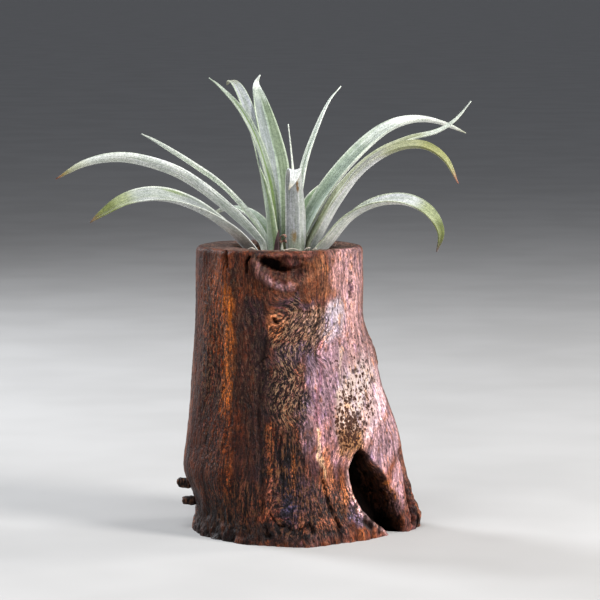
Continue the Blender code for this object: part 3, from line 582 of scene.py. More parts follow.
# Cracks and grooves: the side of the log (-1 front, 1 back), a line of (x, z), half width and depth
GROOVES = (
    (-1, ((-19.4, 76.0), (-19.5, 74.0), (-19.2, 71.6)), 0.45, 1.6),
    (-1, ((-13.4, 74.4), (-14.1, 73.2), (-13.9, 70.2)), 0.42, 1.5),
    (-1, ((13.2, 66.8), (13.7, 65.2), (13.3, 63.2)), 0.55, 1.6),
    (-1, ((-12.8, 45.0), (-11.2, 46.2), (-9.8, 47.8), (-8.2, 48.6)), 0.22, 0.45),
    (-1, ((27.2, 21.0), (28.4, 15.0), (29.6, 9.0), (30.8, 2.0)), 1.1, 2.2),
    (-1, ((-9.0, 53.0), (-10.6, 44.0), (-11.2, 34.0), (-10.4, 20.0), (-10.0, 8.0)), 0.9, 0.3),
    (-1, ((0.6, 44.0), (-0.4, 36.0), (1.2, 26.0), (0.2, 16.0)), 0.5, 0.35),
    (-1, ((-4.6, 30.0), (-5.6, 24.0), (-4.8, 17.0)), 0.35, 0.35),
    (-1, ((-9.0, 12.4), (-7.0, 13.2), (-5.2, 12.2)), 0.35, 0.4),
    (-1, ((-1.0, 12.8), (1.6, 11.2), (3.4, 8.4)), 0.35, 0.35),
    (-1, ((2.6, 5.6), (-0.6, 3.8)), 0.5, 0.6),
    (-1, ((-7.8, 8.0), (-6.0, 5.2), (-3.2, 4.4)), 0.35, 0.4),
    (-1, ((6.0, 16.0), (7.4, 10.0), (10.4, 4.0)), 0.6, 0.9),
    (-1, ((-6.8, 58.4), (-6.2, 57.6)), 0.8, 1.0),
    (-1, ((-1.6, 60.6), (2.6, 60.0)), 0.4, 0.5),
    (-1, ((17.0, 58.0), (19.0, 47.0)), 0.5, 0.6),
    (1, ((-14.2, 76.0), (-13.6, 64.0), (-14.4, 55.0)), 0.5, 1.5),
    (1, ((6.0, 46.0), (7.2, 26.0), (6.2, 8.0)), 0.6, 1.2),
    (1, ((-18.0, 40.0), (-17.2, 22.0), (-19.0, 3.0)), 0.9, 1.2),
    (1, ((10.0, 76.0), (9.4, 69.0)), 0.4, 1.2),
    (1, ((-3.0, 36.0), (-4.0, 18.0)), 0.5, 0.8),
    (1, ((18.0, 30.0), (21.0, 16.0), (24.0, 2.0)), 0.9, 1.2),
)
KNOT_LOWER_LIP = ((-11.6, 0.0, 73.2), (-10.4, 0.0, 69.8), (-7.6, 0.0, 67.9), (-5.0, 0.0, 67.0), (-2.0, 0.0, 66.9))
KNOT_UPPER_LIP = ((-10.4, 0.0, 74.8), (-4.0, 0.0, 75.1), (2.4, 0.0, 74.8))
KNOT_CREASE = ((-9.8, 0.0, 73.4), (-7.8, 0.0, 71.9), (-4.8, 0.0, 71.2), (-1.4, 0.0, 71.6), (0.4, 0.0, 72.4))
KNOT_SWIRL = ((-2.0, 0.0, 66.9), (1.6, 0.0, 68.0), (4.6, 0.0, 70.6), (5.6, 0.0, 74.4))
SIDE_KNOTS = (((-8.0, 20.6, 52.0), 2.6), ((12.0, 18.6, 30.0), 2.2), ((-26.4, 8.0, 30.0), 1.9), ((2.0, 22.8, 15.0), 3.0),
              ((19.6, 4.0, 46.0), 1.8))


# Knots that the grain parts round: centre and reach in millimetres, and how far it parts
GRAIN_KNOTS = (
    ((-3.5, -20.5, 70.5), 9.0, 0.75), ((-12.6, -19.0, 60.5), 3.2, 0.8), ((-6.4, -20.6, 57.5), 3.0, 0.8),
    ((-17.8, -16.4, 69.5), 2.6, 0.7), ((18.0, -12.0, 14.0), 13.0, 0.6), ((-5.0, -27.4, 9.0), 5.0, 0.8),
    ((9.4, -15.4, 57.5), 4.6, 0.25), ((-30.0, -2.0, 11.0), 6.0, 0.8), ((13.4, -10.4, 65.0), 3.0, 0.7),
    ((-8.0, 20.6, 52.0), 7.0, 0.8), ((12.0, 18.6, 30.0), 6.0, 0.8), ((-24.0, 9.0, 30.0), 5.0, 0.7),
    ((2.0, 22.4, 15.0), 8.0, 0.7), ((19.0, 4.0, 46.0), 5.0, 0.7),
)
# Stretches of the front where the grain runs aslant: slope, centre (x, z) and half sizes
GRAIN_SLANTS = ((0.6, (-1.0, 54.0), (9.0, 9.0)), (0.4, (-3.0, 41.0), (8.0, 9.0)), (-0.25, (8.0, 38.0), (7.0, 16.0)),
                (0.30, (15.0, 24.0), (6.0, 10.0)))

BASE_TONE = (104, 54, 30)
# Patches of colour on the front: colour, strength, centre (x, z), half sizes and lean in degrees
PATCHES = (
    ((74, 44, 42), 0.6, (-24.5, 34.0), (4.0, 40.0), 0),
    ((150, 84, 36), 0.75, (-21.5, 62.0), (5.0, 14.0), 0),
    ((118, 62, 30), 0.6, (-13.0, 68.0), (6.0, 6.0), 0),
    ((118, 62, 28), 0.5, (-20.0, 22.0), (5.0, 12.0), 0),
    ((52, 32, 44), 0.85, (-12.4, 60.8), (2.7, 3.6), 0),
    ((78, 46, 40), 0.6, (-13.0, 44.0), (4.0, 14.0), 4),
    ((44, 28, 34), 0.85, (-9.8, 46.0), (2.6, 9.0), 10),
    ((48, 36, 42), 0.8, (-9.0, 53.0), (3.0, 3.0), 0),
    ((46, 32, 38), 0.8, (-10.6, 27.0), (3.4, 13.0), 2),
    ((62, 38, 40), 0.7, (-15.0, 12.0), (4.0, 12.0), 0),
    ((150, 92, 52), 0.7, (-8.0, 66.2), (8.0, 2.6), -4),
    ((148, 92, 54), 0.75, (5.6, 68.4), (6.0, 5.0), -8),
    ((160, 98, 50), 0.7, (4.6, 72.4), (2.4, 1.6), 0),
    ((170, 132, 126), 0.75, (12.2, 70.5), (4.4, 6.6), 0),
    ((84, 64, 76), 0.75, (-0.6, 62.6), (6.6, 1.3), 3),
    ((178, 120, 78), 0.7, (-6.0, 57.0), (3.0, 4.0), 10),
    ((120, 96, 84), 0.6, (0.0, 57.0), (5.0, 5.0), 0),
    ((140, 118, 100), 0.6, (3.8, 57.0), (3.2, 6.0), 0),
    ((70, 62, 76), 0.8, (-1.0, 49.5), (7.0, 3.0), 10),
    ((92, 86, 100), 0.7, (3.6, 45.0), (3.0, 5.0), 0),
    ((64, 48, 50), 0.7, (-4.5, 38.0), (5.4, 9.0), 0),
    ((28, 20, 24), 0.85, (-3.0, 22.0), (4.4, 9.0), 0),
    ((104, 70, 46), 0.6, (-3.0, 33.0), (3.0, 5.0), 0),
    ((186, 176, 176), 0.85, (9.0, 57.4), (3.4, 5.6), -20),
    ((174, 136, 128), 0.75, (13.4, 56.0), (3.0, 11.0), 0),
    ((168, 136, 140), 0.9, (7.6, 41.0), (5.6, 14.0), -2),
    ((182, 136, 132), 0.75, (9.0, 27.0), (4.6, 9.6), -4),
    ((210, 132, 78), 0.7, (7.4, 19.0), (1.6, 6.0), 0),
    ((92, 84, 94), 0.6, (1.6, 31.0), (1.7, 10.0), 8),
    ((216, 194, 186), 0.95, (14.6, 36.5), (5.0, 11.0), -12),
    ((218, 198, 194), 0.85, (17.2, 38.5), (2.6, 6.4), -14),
    ((216, 184, 182), 0.9, (20.4, 36.0), (3.0, 12.0), -18),
    ((180, 130, 76), 0.75, (13.6, 25.4), (3.6, 3.8), -20),
    ((184, 150, 150), 0.85, (22.4, 23.0), (3.6, 10.0), -24),
    ((176, 138, 136), 0.85, (26.4, 13.0), (2.4, 11.0), -16),
    ((120, 70, 58), 0.85, (31.0, 9.0), (2.0, 10.0), -10),
    ((44, 36, 46), 0.8, (-1.0, 13.0), (6.4, 7.0), 0),
    ((64, 68, 92), 0.6, (-2.4, 8.8), (2.0, 4.0), 10),
    ((84, 84, 106), 0.75, (15.0, 7.4), (3.4, 3.6), -36),
    ((190, 116, 62), 0.75, (12.4, 11.0), (2.4, 4.4), -20),
    ((136, 70, 44), 0.7, (-7.0, 6.2), (5.0, 2.8), 0),
    ((150, 84, 50), 0.6, (6.0, 5.0), (5.0, 2.6), 0),
    ((40, 26, 26), 0.85, (-2.0, 2.6), (15.0, 2.6), 0),
    ((50, 32, 32), 0.7, (8.0, 9.0), (5.0, 4.0), -30),
    ((34, 24, 26), 0.7, (-22.0, 4.0), (8.0, 5.0), 0),
)
# Streaks of colour: colour, strength, line of (x, z) and half width
STREAKS = (
    ((224, 140, 52), 0.85, ((-18.2, 66.0), (-18.4, 58.0), (-18.4, 46.0), (-19.2, 34.0)), 1.5),
    ((150, 86, 40), 0.6, ((-19.0, 36.0), (-18.8, 24.0), (-19.2, 8.0)), 1.4),
    ((30, 20, 20), 0.85, ((-17.6, 71.0), (-17.8, 68.0), (-16.8, 64.0)), 0.9),
    ((60, 36, 32), 0.6, ((-16.4, 64.0), (-16.8, 48.0), (-16.6, 34.0)), 0.7),
    ((90, 54, 40), 0.5, ((-24.0, 70.0), (-24.4, 40.0), (-25.0, 12.0)), 0.8),
    ((238, 196, 140), 0.7, ((5.0, 30.0), (5.2, 22.0), (6.4, 17.0)), 0.45),
    ((226, 198, 176), 0.6, ((10.6, 50.0), (10.2, 40.0), (10.8, 30.0)), 0.5),
    ((128, 78, 84), 0.6, ((5.6, 52.0), (4.8, 40.0), (4.6, 32.0)), 0.6),
    ((50, 32, 34), 0.7, ((-14.4, 40.0), (-14.0, 24.0), (-13.6, 8.0)), 0.9),
    ((150, 88, 44), 0.6, ((-8.0, 30.0), (-7.6, 18.0)), 0.9),
    ((176, 104, 46), 0.6, ((-1.4, 24.0), (-1.6, 14.0)), 0.6),
)
FLAKY = (
    (0.9, (-2.0, 55.0), (6.4, 8.0)), (1.0, (-3.2, 38.0), (5.0, 12.0)), (0.75, (4.0, 56.0), (3.8, 7.0)),
    (0.8, (-4.0, 22.0), (5.6, 13.0)), (0.8, (13.6, 26.0), (3.6, 5.0)), (0.7, (3.0, 9.0), (15.0, 8.0)),
    (0.35, (-22.0, 40.0), (5.0, 36.0)), (0.5, (-17.0, 10.0), (8.0, 8.0)),
)
WORMY = ((14.8, 35.6), (5.2, 10.6), -14)
WORM_PITS = 46


def bent_grain(points):
    """Where each point lies in the wood's grain, in millimetres, so that fibres wind and part round the knots."""
    x, z = points[:, 0], points[:, 2]
    front = smooth(-2.0, 6.0, -points[:, 1])
    bent = points + 0.0
    bent[:, 0] += 0.8 * noise_at(points, (9.0, 9.0, 16.0), 101.0) + 0.25 * noise_at(points, (3.0, 3.0, 6.0), 103.0)
    bent[:, 1] += 0.8 * noise_at(points, (9.0, 9.0, 16.0), 107.0) + 0.25 * noise_at(points, (3.0, 3.0, 6.0), 109.0)
    for centre, reach, part in GRAIN_KNOTS:
        away = points - np.array(centre)
        along = np.array([-centre[1], centre[0], 0.0]) / math.hypot(centre[0], centre[1])
        near = part * np.exp(-((away[:, 0]**2 + away[:, 1]**2 + (away[:, 2] * 0.7) ** 2) / reach**2))
        bent -= (near * (away @ along))[:, None] * along
    for slope, centre, sizes in GRAIN_SLANTS:
        bent[:, 0] -= slope * (z - centre[1]) * patch(x, z, centre, sizes) * front
    return bent


def patch(x, z, centre, sizes, lean=0.0):
    """1 in the middle of a leaned oval and 0 outside it."""
    a = math.radians(lean)
    dx, dz = x - centre[0], z - centre[1]
    u = (dx * math.cos(a) + dz * math.sin(a)) / sizes[0]
    w = (-dx * math.sin(a) + dz * math.cos(a)) / sizes[1]
    return smooth(1.25, 0.6, np.hypot(u, w))


def dress_log(points, out, angle):
    """Moves the skin's points for the fine relief, and returns them with their colour, flakiness and shade."""
    x, z = points[:, 0], points[:, 2]
    front = smooth(-0.05, 0.25, -np.sin(angle))
    low = smooth(15.0, 2.0, z)
    grain = bent_grain(points)
    wide = noise_at(grain, (5.0, 5.0, 16.0))
    fibres = noise_at(grain, (1.2, 1.2, 10.0), 7.3)
    strands = noise_at(grain, (0.8, 0.8, 4.5), 9.1)
    lumps = noise_at(points, (2.4, 2.4, 3.4), 3.1)
    small = noise_at(points, (0.9, 0.9, 1.2), 5.7)
    warp_x, warp_z = noise_at(points, (2.6, 2.6, 5.0), 11.0), noise_at(points, (3.0, 3.0, 4.0), 17.0)
    fray = noise_at(points, (0.9, 0.9, 2.2), 19.0)
    wx, wz = x + warp_x * 1.5 + fray * 0.7, z + warp_z * 2.4 + fray * 1.4

    flaky = np.full(len(x), 0.15)
    for strength, centre, sizes in FLAKY:
        flaky = np.maximum(flaky, strength * patch(wx, wz, centre, sizes) * front)
    flaky = np.maximum(flaky, 0.5 * smooth(0.0, 0.5, noise_at(points, (7.0, 7.0, 12.0), 23.0)) * (1 - front))
    flaky = np.maximum(flaky, 0.7 * low * (1 - front))

    proud = 0.3 * wide + 0.14 * fibres + 0.07 * strands + 0.07 * small
    proud += low * (0.8 * lumps + 0.3 * small) + flaky * (0.12 * small + 0.12 * strands)
    shade = 0.35 * smooth(-0.2, -0.5, fibres) * (0.4 + 0.6 * flaky)
    shade = np.maximum(shade, 0.45 * smooth(-0.25, -0.55, strands) * flaky)
    shade += low * 0.7 * smooth(-0.1, -0.45, lumps)
    flat = np.stack([x + 0.25 * fray, np.zeros_like(x), z], 1)
    for side, line, half, depth in GROOVES:
        line = [(a, 0.0, b) for a, b in line]
        cut = smooth(half, half * 0.3, from_line(flat, line)) * (front if side < 0 else smooth(0.1, 0.3, np.sin(angle)))
        proud -= depth * cut
        shade = np.maximum(shade, min(0.95, 0.7 * depth) * cut)

    # The knot at the front top: a bowl with a recess at its left, darkened by painted shade, a lump beside it and a lip
    # round it
    kx, kz = x + 0.35 * warp_x + 0.25 * fray, z + 0.3 * warp_z + 0.15 * fray
    knot_flat = np.stack([kx, np.zeros_like(kx), kz], 1)
    right_slope = smooth(-1.5, 3.5, kx)
    bowl = smooth(1.0, 0.45, np.hypot((kx + 3.6) / 7.6, (kz - 71.4) / 4.0)) * front
    lump = smooth(1.0, 0.35, np.hypot((kx + 1.7) / 3.2, np.minimum(kz - 73.4, 0) / 2.6)) * front
    recess = np.maximum(smooth(1.0, 0.5, np.hypot((kx + 7.3) / 3.3, (kz - 73.0 + 0.3 * (kx + 7.3)) / 1.9)),
                        (0.3 + 0.7 * smooth(0.0, -6.0, kx)) * smooth(0.85, 0.3, from_line(knot_flat, KNOT_CREASE))) * front * (1 - 0.9 * lump)
    proud -= 1.8 * bowl * (1 - 0.6 * right_slope) + 2.2 * recess - 1.5 * lump * bowl
    shade = np.maximum(shade, 0.97 * recess * smooth(0.6, -4.0, kx))
    lower_lip = smooth(1.7, 0.3, from_line(knot_flat, KNOT_LOWER_LIP)) * front
    upper_lip = smooth(0.9, 0.2, from_line(knot_flat, KNOT_UPPER_LIP)) * front
    swirl = smooth(1.2, 0.3, from_line(knot_flat, KNOT_SWIRL)) * front
    proud += 1.0 * lower_lip + 0.5 * upper_lip + 0.35 * swirl

    # The hollow between the roots: steep at its left, with a sloping wall at its right, and darkened inside by painted
    # shade, most at its left
    hx = x + 0.35 * warp_x + 0.14 * fray
    start, end = curve_at(HOLLOW_LEFT, np.minimum(z, 23.8)), curve_at(HOLLOW_RIGHT, np.minimum(z, 23.8))
    across = (hx - start) / np.maximum(end - start, 0.3)
    within = smooth(0.0, 0.14, across) * smooth(1.02, 0.5, across) * smooth(24.2, 21.6, z) * front
    hollow_depth = HOLLOW_DEPTH * within
    lip = smooth(-0.16, -0.05, across) * smooth(0.04, -0.03, across) * smooth(24.5, 20.0, z) * front
    proud += 0.3 * lip * smooth(2.0, 6.0, z)
    shade_inside = 1.0 - 0.55 * smooth(0.4, 0.75, across) + 0.3 * smooth(0.0, -0.3, strands)
    shade = np.maximum(shade, np.clip(within * (2.2 + 5.0 * smooth(0.4, 0.2, across)), 0, 1) * np.clip(shade_inside, 0, 0.99))

    flaky = np.maximum(flaky, np.clip(within * 2, 0, 1))

    # Worm pits
    rng = random.Random(4)
    (cx, cz), (rx, rz), lean = WORMY
    pit = np.zeros(len(x))
    candidates = np.flatnonzero((np.abs(x - cx) < 10) & (np.abs(z - cz) < 15) & (front > 0.5))
    for _ in range(WORM_PITS):
        a, r = rng.uniform(0, 2 * math.pi), math.sqrt(rng.random())
        u, w = r * math.cos(a) * rx * 1.05, r * math.sin(a) * rz * 1.1
        s, c = math.sin(math.radians(lean)), math.cos(math.radians(lean))
        px, pz, size, deep = cx + u * c - w * s, cz + u * s + w * c, rng.uniform(0.22, 0.6), rng.uniform(0.5, 1.0)
        tilt = rng.uniform(-0.7, 0.7)
        dx, dz = x[candidates] - px, z[candidates] - pz
        d = np.hypot((dx - tilt * dz) / size, dz / (size * rng.uniform(0.8, 1.9)))
        pit[candidates] = np.maximum(pit[candidates], deep * smooth(1.25, 0.5, d + 0.5 * small[candidates]))
    proud -= 0.6 * pit
    shade = np.maximum(shade, 0.5 * pit)
    eaten = 0.62 + 0.34 * smooth(38.0, 28.0, z + 0.8 * (x - cx) + 3.0 * warp_x)
    worn = np.maximum(patch(wx, wz, (cx, cz), (rx * 1.1, rz * 1.1), lean) * eaten, 0.9 * patch(wx, wz, (13.4, 25.6), (3.0, 3.6)))
    worn = np.maximum(worn, 0.4 * patch(wx, wz, (12.0, 47.0), (4.0, 4.0))) * front

    tone = np.tile(np.array(linear(BASE_TONE)), (len(x), 1))

    def paint(mask, colour):
        nonlocal tone
        mask = np.clip(mask, 0, 1)[:, None]
        tone = tone * (1 - mask) + np.array(linear(colour)) * mask

    long_tone = noise_at(grain, (2.6, 2.6, 26.0), 31.0)
    paint(0.7 * smooth(0.0, 0.4, long_tone), (142, 80, 38))
    paint(0.7 * smooth(0.0, -0.4, long_tone), (62, 38, 36))
    blotch = noise_at(grain, (4.0, 4.0, 9.0), 41.0)
    paint(0.45 * smooth(0.1, 0.45, blotch), (160, 104, 84))
    paint(0.5 * smooth(-0.1, -0.4, blotch), (58, 44, 60))
    paint(0.55 * smooth(0.2, 0.5, noise_at(points, (8.0, 8.0, 22.0), 43.0)) * (1 - front), (150, 128, 116))
    lit_side = smooth(5.0, 13.0, x + 2.0 * warp_x) * smooth(14.0, 34.0, z) * front
    paint(0.6 * lit_side, (182, 146, 138))
    for colour, strength, centre, sizes, lean in PATCHES:
        paint(strength * patch(wx, wz, centre, sizes, lean) * front, colour)
    warped = np.stack([x + warp_x + 0.5 * fray, np.zeros_like(wx), wz], 1)
    for colour, strength, line, half in STREAKS:
        line = [(a, 0.0, b) for a, b in line]
        paint(strength * smooth(half * 1.5, half * 0.5, from_line(warped, line)) * front, colour)
    for centre, size in SIDE_KNOTS:
        away = np.linalg.norm((points - np.array(centre)) / np.array([size, size, size * 1.5]), axis=1) + 0.2 * warp_x
        rings = 0.5 + 0.5 * np.cos(away * 9.0)
        proud += 0.5 * smooth(1.7, 1.1, away) - 1.3 * smooth(1.0, 0.3, away)
        paint(0.8 * smooth(1.8, 1.2, away), (150, 94, 62))
        paint(0.6 * smooth(1.8, 1.2, away) * rings, (70, 42, 36))
        shade = np.maximum(shade, 0.85 * smooth(0.8, 0.3, away))
    paint(0.8 * bowl * (1 - right_slope), (108, 66, 46))
    paint(0.7 * bowl * right_slope, (136, 84, 52))
    paint(0.85 * lower_lip, (168, 126, 118))
    paint(0.6 * lower_lip * smooth(0.1, -0.2, fray), (214, 180, 172))
    paint(0.6 * upper_lip, (150, 92, 70))
    paint(0.8 * lump * bowl, (130, 76, 60))
    paint(0.45 * swirl, (196, 132, 84))
    paint(0.8 * lip, (208, 172, 160))
    torn = smooth(0.62, 0.78, across) * smooth(1.06, 0.94, across) * smooth(6.0, 10.0, z) * smooth(21.0, 17.0, z) * front
    paint(0.9 * torn * smooth(-0.1, 0.25, fray), (206, 128, 58))
    paint(0.7 * torn * smooth(0.1, -0.3, fray), (44, 26, 20))
    paint(np.clip(within * 2, 0, 0.9) * smooth(0.4, 0.62, across), (92, 56, 38))
    paint(0.8 * low * smooth(0.0, -0.35, lumps), (30, 22, 26))
    paint(0.95 * pit, (66, 34, 24))
    # Painted shade: the front darkens towards its left, away from the light, with its blue dimmed most so that it also
    # turns warmer
    left_shade = smooth(4.0, -14.0, x)[:, None] * front[:, None]
    tone *= 1 - left_shade * np.array([0.50, 0.63, 0.72])
    tone *= 1 - (patch(x, z, (-4.0, 69.0), (11.0, 9.0)) * front)[:, None] * np.array([0.45, 0.46, 0.36])
    tone *= 1 - (smooth(32.0, 6.0, z) * smooth(14.0, 4.0, x))[:, None] * np.array([0.34, 0.31, 0.22])
    tone[:, 2] *= 1 + 0.16 * smooth(-14.0, -6.0, x) * front * smooth(0.6, 0.1, worn)
    tone *= 1 - (1 - front)[:, None] * np.array([0.24, 0.17, 0.06])
    moved = points + out * proud[:, None] * smooth(0.0, 0.6, LOG_HEIGHT - z)[:, None]
    moved += np.stack([-0.25 * hollow_depth, 0.97 * hollow_depth, np.zeros_like(z)], 1)
    grain += np.stack([-0.25 * hollow_depth, 0.97 * hollow_depth, np.zeros_like(z)], 1)
    return moved, tone, flaky, worn, np.clip(shade, 0, 1), grain


def make_log(wood, shaded_wood):
    """One closed skin: up the wall, over the rim, down the bore, with a flat foot and a flat bore floor."""
    angles = log_angles()
    share = np.linspace(0, 1, WALL_ROWS)
    heights = LOG_HEIGHT * (1.0 - (1.0 - share) ** 1.12)
    angle = np.tile(angles, WALL_ROWS)
    height = np.repeat(heights, COLUMNS)
    points, out = log_skin(angle, height)
    wall, tone, flaky, worn, shade, grain = dress_log(points, out, angle)

    edge = wall[-COLUMNS:]
    bore_angle = np.arctan2(edge[:, 1], edge[:, 0] - AXIS_X)
    around = np.stack([np.cos(bore_angle), np.sin(bore_angle), np.zeros(COLUMNS)], 1)
    lip = np.array([AXIS_X, 0.0, LOG_HEIGHT]) + around * BORE_RADIUS
    rim = []
    for k in range(1, RIM_ROWS + 1):
        t = k / RIM_ROWS
        row = edge * (1 - t) + lip * t
        saw = 0.16 * noise_at(row, (0.8, 2.4, 1.0), 51.0) + 0.3 * noise_at(row, (6.0, 6.0, 6.0), 57.0)
        rounded = -0.7 * smooth(0.82, 1.0, np.full(COLUMNS, t)) ** 2
        row = row.copy()
        row[:, 2] = LOG_HEIGHT + saw * smooth(0.0, 0.2, t) * 0.8 + rounded - 0.1
        rim.append(row)
    rim = np.concatenate(rim)
    rubbed = noise_at(rim, (1.1, 3.0, 1.0), 61.0)
    rim_tone = np.tile(np.array(linear((108, 84, 76))), (len(rim), 1))
    mask = (0.6 * smooth(0.0, 0.5, rubbed))[:, None]
    rim_tone = rim_tone * (1 - mask) + np.array(linear((100, 70, 56))) * mask
    outer_edge = np.repeat(1 - np.arange(1, RIM_ROWS + 1) / RIM_ROWS, COLUMNS)
    mask = (0.7 * smooth(0.86, 1.0, outer_edge))[:, None]
    rim_tone = rim_tone * (1 - mask) + np.array(linear((146, 120, 110))) * mask
    rim_shade = 0.5 * smooth(0.25, 0.6, noise_at(rim, (0.9, 1.8, 1.0), 67.0))

    bore = []
    for k in range(1, BORE_ROWS + 1):
        t = k / BORE_ROWS
        row = rim[-COLUMNS:].copy()
        row[:, 2] = row[:, 2] * (1 - t) + BORE_FLOOR * t
        row[:, :2] += around[:, :2] * (0.12 * noise_at(row, (1.4, 1.4, 5.0), 71.0))[:, None]
        bore.append(row)
    bore = np.concatenate(bore)
    bore_tone = np.tile(np.array(linear((96, 62, 44))), (len(bore), 1))
    bore_shade = np.repeat(0.25 + 0.5 * np.arange(1, BORE_ROWS + 1) / BORE_ROWS, COLUMNS)

    floor = []
    for k in range(1, FLOOR_ROWS):
        t = k / FLOOR_ROWS
        row = bore[-COLUMNS:].copy()
        row[:, :2] = row[:, :2] * (1 - t) + np.array([AXIS_X, 0.0]) * t
        floor.append(row)
    floor = np.concatenate(floor)
    rows = np.concatenate([wall, rim, bore, floor])
    tones = np.concatenate([tone, rim_tone, bore_tone, np.tile(bore_tone[:1], (len(floor), 1))])
    flakes = np.concatenate([flaky, np.full(len(rim), 0.25), np.full(len(bore) + len(floor), 0.3)])
    shades = np.concatenate([shade, rim_shade, bore_shade, np.full(len(floor), 0.8)])
    on_rim = rim[:, [0, 1, 2]] * np.array([1.0, 1.0, 3.0])
    grains = np.concatenate([grain, on_rim, bore, floor, np.zeros((2, 3))])

    count = len(rows)
    centres = np.array([[0.0, 0.0, 0.0], [AXIS_X, 0.0, BORE_FLOOR]])
    rows = np.concatenate([rows, centres])
    tones = np.concatenate([tones, tones[:1], tones[-1:]])
    flakes = np.concatenate([flakes, [0.3, 0.3]])
    shades = np.concatenate([shades, [0.5, 0.8]])
    bands = count // COLUMNS
    faces = []
    for r in range(bands - 1):
        for c in range(COLUMNS):
            a, b = r * COLUMNS + c, r * COLUMNS + (c + 1) % COLUMNS
            faces.append((a, b, b + COLUMNS, a + COLUMNS))
    for c in range(COLUMNS):
        faces.append((count, (c + 1) % COLUMNS, c))
        last = (bands - 1) * COLUMNS
        faces.append((last + c, last + (c + 1) % COLUMNS, count + 1))
    mesh = bpy.data.meshes.new("log_surface")
    mesh.from_pydata((rows * MM).tolist(), [], faces)
    mesh.update()
    mesh.shade_smooth()
    mesh.set_sharp_from_angle(angle=math.radians(60))
    colour = mesh.color_attributes.new("tone", "FLOAT_COLOR", "POINT")
    colour.data.foreach_set("color", np.concatenate([tones, np.ones((len(tones), 1))], 1).ravel())
    worms = np.concatenate([worn, np.zeros(len(rows) - len(worn))])
    for name, values in (("flaky", flakes), ("worn", worms), ("shade", shades)):
        layer = mesh.attributes.new(name, "FLOAT", "POINT")
        layer.data.foreach_set("value", values)
    layer = mesh.attributes.new("grain", "FLOAT_VECTOR", "POINT")
    layer.data.foreach_set("vector", grains.ravel())
    mesh.materials.append(wood)
    mesh.materials.append(shaded_wood)
    # Faces under heavy painted shade take the shaded copy of the wood, which has less gloss
    corners = np.array([f if len(f) == 4 else (*f, f[-1]) for f in faces])
    mesh.polygons.foreach_set("material_index", (shades[corners].mean(axis=1) > 0.55).astype(np.int32))
    log = bpy.data.objects.new("log_surface", mesh)
    bpy.context.scene.collection.objects.link(log)
    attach(log, "root")
    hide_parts("driftwood_log")
    return log


def make_knobs(wood):
    """The two broken-off twigs low on the log's left side."""
    bm = bmesh.new()
    for centre, radius, length in (((-30.6, -2.0, 12.4), 1.7, 2.6), ((-29.6, -2.0, 7.6), 1.45, 2.2)):
        for vertex in bmesh.ops.create_uvsphere(bm, u_segments=28, v_segments=18, radius=1.0)["verts"]:
            p = vertex.co.copy()
            rough = 1.0 + 0.16 * noise.noise(p * 1.7 + Vector(centre)) + 0.06 * noise.noise(p * 5.0)
            flat = -0.86 if p.x < -0.86 else p.x
            waist = 1.0 - 0.22 * math.exp(-((p.x + 0.1) ** 2) * 6)
            vertex.co = Vector((flat * length * rough, p.y * radius * rough * waist,
                                p.z * radius * rough * waist)) + Vector(centre)
            vertex.co *= MM
    mesh = bpy.data.meshes.new("log_twig_stubs")
    bm.to_mesh(mesh)
    bm.free()
    mesh.shade_smooth()
    count = len(mesh.vertices)
    colour = mesh.color_attributes.new("tone", "FLOAT_COLOR", "POINT")
    colour.data.foreach_set("color", np.tile([*linear((58, 40, 35)), 1.0], count))
    for name, value in (("flaky", 0.5), ("shade", 0.15)):
        layer = mesh.attributes.new(name, "FLOAT", "POINT")
        layer.data.foreach_set("value", np.full(count, value))
    places = np.empty(count * 3)
    mesh.vertices.foreach_get("co", places)
    layer = mesh.attributes.new("grain", "FLOAT_VECTOR", "POINT")
    layer.data.foreach_set("vector", places / MM)
    mesh.materials.append(wood)
    knobs = bpy.data.objects.new("log_twig_stubs", mesh)
    bpy.context.scene.collection.objects.link(knobs)
    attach(knobs, "root")


# ---- The plant


